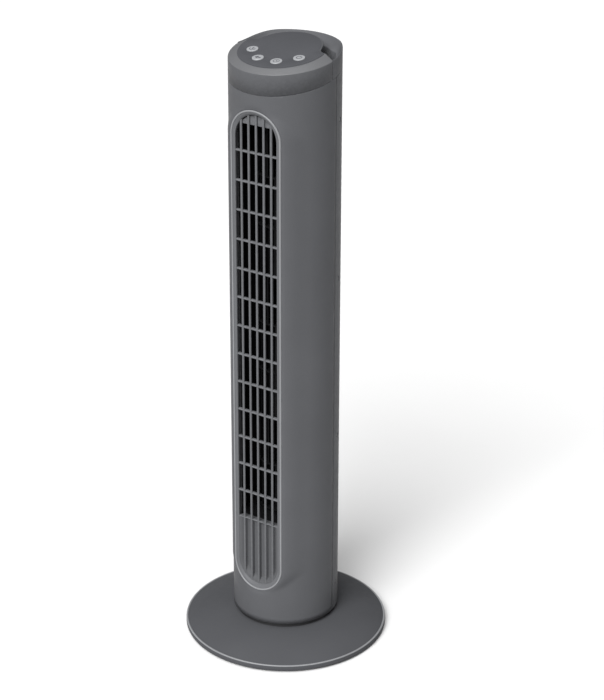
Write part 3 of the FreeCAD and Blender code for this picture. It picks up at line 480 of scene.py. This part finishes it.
def make_front_shell():
    half = TOWER_R * math.radians(SHELL_HALF_ANGLE - SIDE_GAP)
    across = [-half + 2 * half * k / 60 for k in range(61)]
    edge = lambda s: seam_height(-TOWER_R * math.cos(s / TOWER_R)) - SEAM_HALF_GAP
    levels = [TOWER_LOW_Z + 7 * k for k in range(1, 104)]
    outer = [(s, TOWER_LOW_Z) for s in across]
    outer += [(half, z) for z in levels if z < edge(half) - 3]
    outer += [(s, edge(s)) for s in reversed(across)]
    outer += [(-half, z) for z in reversed(levels) if z < edge(half) - 3]
    unroll = lambda x: TOWER_R * math.atan2(x, -frame_y(x))
    opening = stadium_loop(OUTER_HALF - 0.2, OUTER_LOW_Z, OUTER_HIGH_Z, 48, 80)
    hole = [(unroll(x), z) for x, z, _, _ in opening]
    grid = [(s, edge(s) - drop) for s in across[1:-1] for drop in (0.6, 2.0)]
    for reach in (1.5, 3.5, 6, 9, 12.5, 16.5, 21, 26, 31):
        loop = stadium_loop(OUTER_HALF + reach, OUTER_LOW_Z, OUTER_HIGH_Z, 48, 80)
        grid += [(unroll(x), z) for x, z, _, _ in loop]
    for s in across[1:-1]:
        for z in levels:
            away = stadium_distance(abs(s), z, OUTER_HALF, OUTER_LOW_Z, OUTER_HIGH_Z)
            if away > 31 and z < edge(s) - 3:
                grid.append((s, z))
    flat, faces = fill_region([outer, hole], grid)
    points = []
    for s, z in flat:
        angle = s / TOWER_R
        reach = TOWER_R + swell(s, z)
        points.append((reach * math.sin(angle), -reach * math.cos(angle), z))
    piece = add_piece("front_shell_skin", points, faces, "tower", SHELL_GREY, "front_shell")
    thicken(piece, WALL)


# ---- air outlet --------------------------------------------------------------------------

BEAD_R, BEAD_RISE = 1.15, 0.9


def round_outlet(profile, name, material, replaces=None):
    """Sweeps a profile round the outlet: (offset inwards, y) pairs for a width and a front."""
    outer = stadium_loop(OUTER_HALF, OUTER_LOW_Z, OUTER_HIGH_Z)
    inner = stadium_loop(INNER_HALF, INNER_LOW_Z, INNER_HIGH_Z)
    rings = []
    for (x, z, _, _), (ix, iz, _, _) in zip(outer, inner):
        width = math.hypot(ix - x, iz - z)
        ux, uz = (ix - x) / width, (iz - z) / width
        rings.append([(x + ux * offset, y, z + uz * offset)
                      for offset, y in profile(width, lambda offset: frame_y(x + ux * offset))])
    points, faces = join_rings(rings, closed_path=True)
    add_piece(name, points, faces, "tower", material, replaces, sharp=50)


def frame_profile(width, front):
    """The frame: a seat for the bead, a shallow groove, then a face that curves in to the grille."""
    foot = 2 * BEAD_R + 0.1
    start = front(foot) + 0.35
    profile = [(0.0, -52.0), (0.0, front(0.0) + 0.6), (foot, front(foot) + 0.6), (foot, start)]
    for share in (0.15, 0.4, 0.65, 0.85, 1.0):
        profile.append((foot + (width - foot) * share, start + (GRILLE_Y + 0.2 - start) * share ** 2.2))
    lip = width - 3.5
    return profile + [(width, GRILLE_Y + 2.6), (lip, GRILLE_Y + 4.0), (lip, -52.0)]


def bead_profile(width, front):
    """The raised bead along the frame's outer edge."""
    profile = []
    for step in range(9):
        angle = math.pi * step / 8
        offset = BEAD_R - BEAD_R * math.cos(angle)
        profile.append((offset, front(offset) - BEAD_RISE * math.sin(angle)))
    return profile + [(2 * BEAD_R, front(2 * BEAD_R) + 0.9), (0.0, front(0.0) + 0.9)]


def make_bezel():
    round_outlet(frame_profile, "bezel", GRILLE_GREY, "bezel_ring")
    # The bead is drawn in the lighter grey, a painted highlight along the bezel's edge.
    round_outlet(bead_profile, "bezel_bead", PAINTED_HIGHLIGHT_GREY)


def chord(x, half, low_z, high_z):
    """The lowest and highest z inside a stadium at x."""
    rise = math.sqrt(max(0.0, half * half - x * x))
    return low_z - rise, high_z + rise


def make_grille():
    parts = []
    for k in range(-2, 3):
        x = k * BAR_PITCH
        low, high = chord(x, INNER_HALF + 0.8, INNER_LOW_Z, INNER_HIGH_Z)
        near, far = (x - BAR_WIDTH / 2, GRILLE_Y, low), (x + BAR_WIDTH / 2, GRILLE_Y + BAR_DEPTH, high)
        parts.append(soft_box(near, far, BAR_ROUND))
    for k in range(RIB_COUNT):
        z = RIB_TOP_Z - k * RIB_PITCH
        parts.append(rib(z, RIB_THICK))
    parts.append(rib(FLUTE_TOP_Z + FOOT_RIB_RISE, FOOT_RIB_THICK))
    parts.append(head_plate())
    points, faces = merge(*parts)
    add_piece("grille", points, faces, "tower", GRILLE_GREY, "outlet_grille", sharp=50)


def rib(z, thickness):
    """A cross rib with a rounded nose, thinning towards the back."""
    nose = thickness / 2
    back = GRILLE_Y + RIB_DEPTH
    profile = [(back, z - nose * 0.7), (GRILLE_Y + 0.3 + nose, z - nose)]
    for step in range(1, 6):
        angle = math.pi * step / 6
        profile.append((GRILLE_Y + 0.3 + nose - nose * 0.9 * math.sin(angle), z - nose * math.cos(angle)))
    profile += [(GRILLE_Y + 0.3 + nose, z + nose), (back, z + nose * 0.7)]
    ends = (-INNER_HALF - 0.4, INNER_HALF + 0.4)
    return join_rings([[(x, y, height) for y, height in profile] for x in ends])


def head_plate():
    """The closed plate at the top of the outlet, with a thin gap along its arc."""
    half = INNER_HALF - 1.4
    rise = HEAD_PLATE_Z - INNER_HIGH_Z
    start = math.asin(rise / half)
    arc = [start + (math.pi - 2 * start) * k / 32 for k in range(33)]
    outline = [(half * math.cos(a), INNER_HIGH_Z + half * math.sin(a)) for a in arc]
    front, back = GRILLE_Y + 3.2, GRILLE_Y + 8.0
    return join_rings([[(x, front, z) for x, z in outline], [(x, back, z) for x, z in outline]])


def make_flutes():
    """The closed lower panel: six flat-floored channels that rise to the front at the bottom arc."""
    columns, rows = 96, 48
    half = INNER_HALF - 0.05
    front, rings = [], []
    for i in range(columns + 1):
        x = -half + 2 * half * i / columns
        low, _ = chord(min(half - 0.02, max(-half + 0.02, x)), INNER_HALF, INNER_LOW_Z, INNER_HIGH_Z)
        line = []
        for j in range(rows + 1):
            z = FLUTE_TOP_Z + (low - FLUTE_TOP_Z) * (j / rows)
            line.append((x, flute_y(x, z), z))
        front.append(line)
    back_y = GRILLE_Y + 11.0
    for line in front:
        ring = list(line)
        ring += [(line[-1][0], back_y, line[-1][2]), (line[0][0], back_y, line[0][2])]
        rings.append(ring)
    points, faces = join_rings(rings)
    add_piece("flutes", points, faces, "tower", FLUTE_GREY, "flute_panel", sharp=50)


def flute_y(x, z):
    """The front of the fluted panel: crests in line with the bars and flat floors between them."""
    inner = BAR_PITCH / 2 - BAR_WIDTH / 2
    share = (((x / BAR_PITCH) % 1.0) - 0.5) * BAR_PITCH / inner
    if abs(x) > 2 * BAR_PITCH:
        middle = (2 * BAR_PITCH + BAR_WIDTH / 2 + INNER_HALF) / 2
        share = (abs(x) - middle) / (INNER_HALF - middle)
    hollow = min(1.0, max(0.0, (1.0 - abs(share)) / FLUTE_FLANK))
    edge = -stadium_distance(x, z, INNER_HALF, INNER_LOW_Z, INNER_HIGH_Z)
    scoop = smooth_step((edge - 1.0) / 8.0)
    crest, floor = GRILLE_Y + 0.6, GRILLE_Y + 1.6 + FLUTE_DEPTH * hollow
    return crest + (floor - crest) * scoop


# ---- cap: bevelled plateau, lobe, notches and the rear grip bar ---------------------------

def deck_height(x, y):
    """The cap's top: a tilted plane that turns down into a bevel towards the rim."""
    plane = PANEL_Z + math.tan(PANEL_TILT) * y
    away = math.hypot(x, (y - PLATEAU_Y) / math.cos(PANEL_TILT)) - PLATEAU_R
    soft = 1.6
    drop = 0.5 * (away + math.sqrt(away * away + soft * soft))
    return plane - drop * math.tan(BEVEL_SLOPE)


def rim_height(y):
    return RIM_LOW_Z + RIM_RISE * smooth_step((y - RIM_START_Y) / RIM_REACH)


def notch_line(x):
    """The y of the cap's rear edge between the rim and the lobe, at a distance x from the middle."""
    slope = (NOTCH[1] - NOTCH_OUT[1]) / (NOTCH[0] - NOTCH_OUT[0])
    return NOTCH[1] + (abs(x) - NOTCH[0]) * slope


def rear_outline(inset, rim_r):
    """The cap's edge along the handle, from the right rim round the lobe to the left rim."""
    lobe = LOBE_R - inset
    corner = math.asin((notch_line(LOBE_R) - inset) / lobe)
    x = lobe * math.cos(corner)
    count, bend = 14, 6.0
    start = rim_r - 0.02
    across = [start + (x + bend - start) * k / count for k in range(count + 1)]
    points = [(sx, notch_line(sx) - inset) for sx in across]
    turn_end = corner + bend / lobe
    bend_from, bend_to = points[-1], (lobe * math.cos(turn_end), lobe * math.sin(turn_end))
    middle = (x, notch_line(x) - inset)
    for k in range(1, 8):
        share = k / 8
        points.append(tuple((1 - share) ** 2 * a + 2 * share * (1 - share) * b + share ** 2 * c
                            for a, b, c in zip(bend_from, middle, bend_to)))
    sides = len(points)
    for k in range(65):
        angle = turn_end + (math.pi - 2 * turn_end) * k / 64
        points.append((lobe * math.cos(angle), lobe * math.sin(angle)))
    left = [(-px, py) for px, py in reversed(points[:sides])]
    return points + left


def cap_loop(inset, rim_r, steps=96):
    """A closed loop: the rear outline, then the front rim from left to right."""
    rear = rear_outline(inset, rim_r)
    start = math.atan2(rear[-1][1], rear[-1][0]) % (2 * math.pi)
    end = math.atan2(rear[0][1], rear[0][0]) + 2 * math.pi
    front = [start + (end - start) * k / steps for k in range(1, steps)]
    return rear + [(rim_r * math.cos(a), rim_r * math.sin(a)) for a in front]


def circle(x, y, radius, steps=40):
    return [(x + radius * math.cos(2 * math.pi * k / steps), y + radius * math.sin(2 * math.pi * k / steps))
            for k in range(steps)]


def make_cap_front():
    """Deck, bevel, rounded rim and outer wall of the cap, in front of the handle."""
    rim_r = TOWER_R - 0.9
    outer = cap_loop(0.0, rim_r)
    holes = [circle(x, y, BUTTON_HOLE_R) for x, y in BUTTONS.values()]
    grid = []
    for inset in (0.35, 0.9):
        grid += cap_loop(inset, rim_r - inset)
    bevel_loop = cap_loop(1.2, rim_r - 1.2)
    for radius in (64.5, 61.5, 59.0, 57.6, 56.4):
        ring = circle(0, PLATEAU_Y, radius, 150)
        grid += [point for point in ring if inside(bevel_loop, *point)]
    inner_loop = cap_loop(2.0, 57.0)
    for i in range(-14, 15):
        for j in range(-15, 15):
            point = (4.0 * i, 4.0 * j)
            gap = min(math.hypot(point[0] - x, point[1] - y) for x, y in BUTTONS.values())
            if inside(inner_loop, *point) and gap > BUTTON_HOLE_R + 1:
                grid.append(point)
    for x, y in BUTTONS.values():
        grid += circle(x, y, BUTTON_HOLE_R + 0.6)
    flat, faces = fill_region([outer] + holes, grid)
    rear = [Vector(point) for point in rear_outline(0.0, rim_r)]
    points = []
    for x, y in flat:
        z = deck_height(x, y) - 0.3
        near = min((Vector((x, y)) - point).length for point in rear)
        z -= LIP_DROP * max(0.0, 1.0 - near / 0.9) ** 2
        points.append((x, y, z))
    count = len(points)
    wall_rings = []
    for reach, drop in ((0.45, 0.28), (0.75, 0.75), (0.9, 1.5)):
        ring = []
        for x, y in outer:
            on_rim = math.hypot(x, y) > rim_r - 0.01
            scale = (rim_r + reach) / rim_r if on_rim else 1.0
            z = deck_height(x, y) - 0.3 - (0.0 if on_rim else LIP_DROP)
            ring.append((x * scale, y * scale, z - drop))
        wall_rings.append(ring)
    bottom = []
    for x, y in outer:
        on_rim = math.hypot(x, y) > rim_r - 0.01
        scale = TOWER_R / rim_r if on_rim else 1.0
        z = seam_height(y * scale) + SEAM_HALF_GAP if on_rim else deck_height(x, y) - 16.0
        bottom.append((x * scale, y * scale, z))
    wall_rings.append(bottom)
    top_edge = []
    for x, y in outer:
        on_rim = math.hypot(x, y) > rim_r - 0.01
        top_edge.append((x, y, deck_height(x, y) - 0.3 - (0.0 if on_rim else LIP_DROP)))
    wall = join_rings([top_edge] + wall_rings, caps=False)
    points, faces = merge((points, faces), wall)
    piece = add_piece("cap_deck", points, faces, "tower", SHELL_GREY, "top_cap", sharp=48)
    # Faces on the bevel take the lighter grey, a painted highlight; the rest of the deck keeps the shell
    # grey.
    piece.data.materials.append(BEVEL_PAINTED_HIGHLIGHT)
    for face in piece.data.polygons:
        x, y = face.center.x / MM, face.center.y / MM
        outside = math.hypot(x, (y - PLATEAU_Y) / math.cos(PANEL_TILT)) > PLATEAU_R - 0.8
        on_bevel = outside and y < notch_line(x) - 0.4 and abs(face.normal.z) > 0.5
        face.material_index = 1 if on_bevel else 0
    thicken(piece, DECK_WALL)


def make_grip_bar():
    """The cap's rear part: a thin wall beside each notch that widens into the grip bar."""
    start = math.degrees(math.asin(notch_line(TOWER_R - 0.7) / TOWER_R)) - 0.6
    rings = []
    for k in range(121):
        angle = math.radians(start + (180 - 2 * start) * k / 120)
        rise = math.sin(angle)
        from_side = min(math.degrees(angle), 180 - math.degrees(angle))
        inner = GRIP_SIDE_R - GRIP_WIDEN * smooth_step((from_side - GRIP_WIDEN_FROM) / GRIP_WIDEN_OVER)
        low_z = lambda r: seam_height(r * rise) + SEAM_HALF_GAP
        rim = rim_height(TOWER_R * rise)
        section = [(TOWER_R, low_z(TOWER_R)), (TOWER_R, rim - 1.4), (TOWER_R - 0.2, rim - 0.6),
                   (TOWER_R - 0.8, rim - 0.2)]
        for step in range(8):
            share = step / 7
            r = TOWER_R - 1.4 - (TOWER_R - 1.4 - inner - 0.8) * share
            section.append((r, rim - 0.5 - SCOOP_FALL * (1 - (1 - share) ** 1.5)))
        last = section[-1][1]
        section += [(inner + 0.2, last - 0.5), (inner, last - 1.3), (inner, low_z(inner))]
        rings.append([(r * math.cos(angle), r * math.sin(angle), z) for r, z in section])
    points, faces = join_rings(rings)
    add_piece("cap_grip_bar", points, faces, "tower", SHELL_GREY, sharp=48)


def make_tub():
    """The handle's tub, with its walls ending under the cap's rim, drawn black as painted shade for the deep
    handle hole.
    """
    tub = NODES["handle_tub"]
    shaped = bmesh.new()
    shaped.from_mesh(tub.data)
    shaped.transform(tub.matrix_world)
    level = Vector((0.0, 0.0, TUB_TOP_Z * MM))
    slope = Vector((0.0, -math.sin(TUB_TOP_TILT), math.cos(TUB_TOP_TILT)))
    sides = shaped.verts[:] + shaped.edges[:] + shaped.faces[:]
    cut = bmesh.ops.bisect_plane(shaped, geom=sides, plane_co=level, plane_no=slope, clear_outer=True)
    rim = [part for part in cut["geom_cut"] if isinstance(part, bmesh.types.BMEdge)]
    bmesh.ops.triangle_fill(shaped, edges=rim, use_beauty=True)
    points = [tuple(vertex.co / MM) for vertex in shaped.verts]
    shaped.verts.index_update()
    faces = [tuple(vertex.index for vertex in face.verts) for face in shaped.faces]
    shaped.free()
    add_piece("tub_lining", points, faces, "tower", BLACK_AND_PAINTED_SHADE, "handle_tub")


def make_panel():
    """The control panel: a thin film over the plateau and the lobe."""
    outer = film_loop(FILM_R)
    holes = [circle(x, y, BUTTON_HOLE_R + 0.1) for x, y in BUTTONS.values()]
    flat, faces = fill_region([outer] + holes, [])
    points = [(x, y, PANEL_Z + math.tan(PANEL_TILT) * y) for x, y in flat]
    piece = add_piece("panel_film", points, faces, "tower", PANEL_FILM, "control_panel")
    thicken(piece, FILM_THICK)
    edge = piece.modifiers.new("edge", "BEVEL")
    edge.width = 0.00012
    edge.segments = 2
    edge.limit_method = "ANGLE"


def film_loop(radius):
    """The film's outline: a circle round the plateau's centre, cut back along the handle."""
    rear = [point for point in rear_outline(1.6, TOWER_R)
            if math.hypot(point[0], point[1] - PLATEAU_Y) < radius]
    start = math.atan2(rear[-1][1] - PLATEAU_Y, rear[-1][0])
    end = math.atan2(rear[0][1] - PLATEAU_Y, rear[0][0]) + 2 * math.pi
    front = [start + (end - start) * k / 120 for k in range(1, 120)]
    return rear + [(radius * math.cos(a), PLATEAU_Y + radius * math.sin(a)) for a in front]


# ---- buttons with printed icons ----------------------------------------------------------

def on_panel(centre, u, v, lift):
    """A point on a button: u to the right, v up the slope, lift off the panel."""
    x, y = centre
    py = y + v * math.cos(PANEL_TILT) - lift * math.sin(PANEL_TILT)
    pz = PANEL_Z + math.tan(PANEL_TILT) * y + v * math.sin(PANEL_TILT) + lift * math.cos(PANEL_TILT)
    return (x + u, py, pz)


def make_button(name, centre):
    profile = [(0.0, -2.6), (BUTTON_R, -2.6), (BUTTON_R, 0.25), (BUTTON_R - 0.15, 0.5),
               (BUTTON_R - 0.5, 0.66), (BUTTON_R - 1.0, 0.7), (4.0, 0.62), (0.0, 0.58)]
    steps = 64
    rings = []
    for k in range(steps):
        angle = 2 * math.pi * k / steps
        rings.append([on_panel(centre, r * math.cos(angle), r * math.sin(angle), lift)
                      for r, lift in profile])
    points, faces = join_rings(rings, closed_rings=False, closed_path=True)
    add_piece(name + "_cap", points, faces, name, BUTTON_GREY, name)
    points, faces = merge(*ICONS[name](centre))
    add_piece(name + "_icon", points, faces, name, INK)


def ink_strip(centre, line, width, closed=False):
    """A flat inked line of even width along (u, v) points."""
    count = len(line)
    rings = []
    for k, (u, v) in enumerate(line):
        before = line[(k - 1) % count] if closed or k else line[k]
        after = line[(k + 1) % count] if closed or k < count - 1 else line[k]
        du, dv = after[0] - before[0], after[1] - before[1]
        size = math.hypot(du, dv)
        nu, nv = -dv / size * width / 2, du / size * width / 2
        rings.append([on_panel(centre, u + nu, v + nv, INK_LOW), on_panel(centre, u + nu, v + nv, INK_HIGH),
                      on_panel(centre, u - nu, v - nv, INK_HIGH), on_panel(centre, u - nu, v - nv, INK_LOW)])
    return join_rings(rings, closed_path=closed)


def ink_shape(centre, outline):
    """A flat inked shape with a straight-sided outline."""
    return join_rings([[on_panel(centre, u, v, INK_LOW) for u, v in outline],
                       [on_panel(centre, u, v, INK_HIGH) for u, v in outline]])


def arc_line(radius, start, end, steps=24):
    angles = [math.radians(start + (end - start) * k / steps) for k in range(steps + 1)]
    return [(radius * math.cos(a), radius * math.sin(a)) for a in angles]


def swing_icon(centre):
    """A double-headed curved arrow over a small upright bar."""
    yield ink_strip(centre, arc_line(3.6, 200, 340), 0.8)
    yield ink_shape(centre, [(-4.9, -0.9), (-2.4, -0.9), (-3.7, 1.2)])
    yield ink_shape(centre, [(2.4, -0.9), (4.9, -0.9), (3.7, 1.2)])
    yield ink_strip(centre, [(0.0, -1.2), (0.0, 3.6)], 1.5)


def speed_icon(centre):
    """A solid arrow."""
    yield ink_shape(centre, [(-4.2, 0.0), (-0.4, 3.3), (-0.4, 1.1), (3.9, 1.1), (3.9, -1.1),
                             (-0.4, -1.1), (-0.4, -3.3)])


def timer_icon(centre):
    """A clock face with two hands."""
    yield ink_strip(centre, arc_line(3.7, 0, 345, 36), 0.75, closed=True)
    yield ink_strip(centre, [(0.0, 2.5), (0.0, 0.0), (1.8, -1.0)], 0.7)


def power_icon(centre):
    """An open ring with an upright stroke."""
    yield ink_strip(centre, arc_line(3.3, 118, 422, 32), 1.0)
    yield ink_strip(centre, [(0.0, 1.2), (0.0, 4.6)], 1.0)


ICONS = {"button_oscillate": swing_icon, "button_speed": speed_icon,
         "button_timer": timer_icon, "button_power": power_icon}


# ---- base --------------------------------------------------------------------------------

def make_base():
    """The disc base: a domed top, a rounded lip with a raised bead drawn lighter as a painted highlight, and
    a hollow underside.
    """
    top = []
    for k in range(33):
        r = NECK_R + (BASE_R - 2.2 - NECK_R) * k / 32
        top.append((r, dome_height(r)))
    lip_steps = ((2.1, 9.5), (1.6, 9.75), (1.0, 9.7), (0.4, 9.2), (0.0, 8.3), (0.0, 3.2), (0.5, 2.1),
                 (1.6, 1.5), (3.4, 1.5))
    lip = [(BASE_R - inset, z) for inset, z in lip_steps]
    under = [(r - 1.4, z - BASE_SKIN) for r, z in reversed(top)]
    profile = [(BASE_BORE_R, NECK_Z)] + top + lip + under + [(BASE_BORE_R, NECK_Z - BASE_SKIN)]
    dish = lathe(profile, 256)
    parts = [dish]
    for k in range(8):
        parts.append(base_web(math.radians(22.5 + 45 * k)))
    for k in range(6):
        angle = math.radians(90 + 60 * k)
        parts.append(base_post(FOOT_CIRCLE_R * math.cos(angle), FOOT_CIRCLE_R * math.sin(angle)))
    points, faces = merge(*parts)
    add_piece("base_dish", points, faces, "base", BASE_GREY, "base_shell", sharp=35)
    # A thin ring on the lip's rounded edge, in the lighter grey: a painted highlight.
    bead_angles = [math.radians(30 * k) for k in range(12)]
    bead = [(BASE_R - 1.4 + 1.25 * math.cos(a), 8.85 + 1.15 * math.sin(a)) for a in bead_angles]
    points, faces = lathe(bead, 256)
    add_piece("base_rim_highlight", points, faces, "base", PAINTED_HIGHLIGHT_GREY, sharp=60)


def dome_height(r):
    share = min(1.0, max(0.0, (r - NECK_R) / (BASE_R - 2.2 - NECK_R)))
    return NECK_Z - DOME_FALL * (0.35 * share + 0.65 * share * share)


def skin_under(r):
    """The underside of the base's skin at a radius."""
    return dome_height(r) - 2.9


def base_web(angle):
    ring_near, ring_far = [], []
    for k in range(13):
        r = 60 + 69 * k / 12
        ring_near.append((r, 2.4))
        ring_far.append((r, skin_under(r) + 0.5))
    outline = ring_near + list(reversed(ring_far))
    rings = []
    for side in (-1.0, 1.0):
        rings.append([(r * math.cos(angle) - side * math.sin(angle),
                       r * math.sin(angle) + side * math.cos(angle), z) for r, z in outline])
    return join_rings(rings)


def base_post(x, y):
    """A tubular post that holds a rubber foot."""
    outer, inner = 9.5, 8.05
    rings = []
    for k in range(40):
        a = 2 * math.pi * k / 40
        c, s = math.cos(a), math.sin(a)
        high = skin_under(math.hypot(x + outer * c, y + outer * s)) + 0.4
        rings.append([(x + outer * c, y + outer * s, 2.1), (x + outer * c, y + outer * s, high),
                      (x + inner * c, y + inner * s, high), (x + inner * c, y + inner * s, 2.1)])
    return join_rings(rings, closed_path=True)


# ---- stage, light and camera -------------------------------------------------------------

def flat_paint(name, colour):
    m = Nodes(name)
    m.link(m.mix(m.ramp(m.noise(3.0), 0.0, 1.0), tint(colour, 0.99), colour), m.shader.inputs["Base Color"])
    m.shader.inputs["Roughness"].default_value = 0.9
    m.shader.inputs["Specular IOR Level"].default_value = 0.1
    return m.material


def make_stage():
    mesh = bpy.data.meshes.new("studio_floor")
    half = 12.0
    corners = ((-half, -half), (half, -half), (half, half), (-half, half))
    mesh.from_pydata([(x, y, -0.0002) for x, y in corners], [], [(0, 1, 2, 3)])
    mesh.materials.append(flat_paint("studio_white", (0.61, 0.61, 0.61)))
    floor = bpy.data.objects.new("studio_floor", mesh)
    bpy.context.scene.collection.objects.link(floor)


def sun(name, azimuth, elevation, strength, spread):
    """A far, wide light; azimuth 0 shines from the front, positive from the right."""
    lamp = bpy.data.lights.new(name, "SUN")
    lamp.energy = strength
    lamp.angle = math.radians(spread)
    light = bpy.data.objects.new(name, lamp)
    a, e = math.radians(azimuth), math.radians(elevation)
    light.location = 3.0 * Vector((math.sin(a) * math.cos(e), -math.cos(a) * math.cos(e), math.sin(e)))
    light.rotation_euler = (-light.location).to_track_quat("-Z", "Y").to_euler()
    bpy.context.scene.collection.objects.link(light)


def make_light():
    world = bpy.data.worlds.new("studio")
    world.use_nodes = True
    background = world.node_tree.nodes["Background"]
    background.inputs["Color"].default_value = (1.0, 1.0, 1.0, 1.0)
    background.inputs["Strength"].default_value = 0.15
    bpy.context.scene.world = world
    bpy.context.scene.view_settings.view_transform = "Standard"
    sun("key", 10, 39, 4.9, 35)
    sun("top", 0, 80, 2.2, 60)


def make_camera():
    camera_data = bpy.data.cameras.new("camera")
    camera_data.sensor_width = 36.0
    camera_data.lens = 112.71
    camera = bpy.data.objects.new("camera", camera_data)
    bpy.context.scene.collection.objects.link(camera)
    turn = math.radians(34.0)
    away, height = 2.5745, 1.5624
    camera.location = (away * math.sin(turn), -away * math.cos(turn), height)
    aim = Matrix.Rotation(turn - 0.00827, 4, "Z") @ Matrix.Rotation(math.radians(90.0 - 24.265), 4, "X")
    camera.rotation_euler = (aim @ Matrix.Rotation(math.radians(0.137), 4, "Z")).to_euler()
    bpy.context.scene.camera = camera


make_front_shell()
make_bezel()
make_grille()
make_flutes()
make_cap_front()
make_grip_bar()
make_panel()
make_tub()
for button, spot in BUTTONS.items():
    make_button(button, spot)
make_base()
make_stage()
make_light()
make_camera()
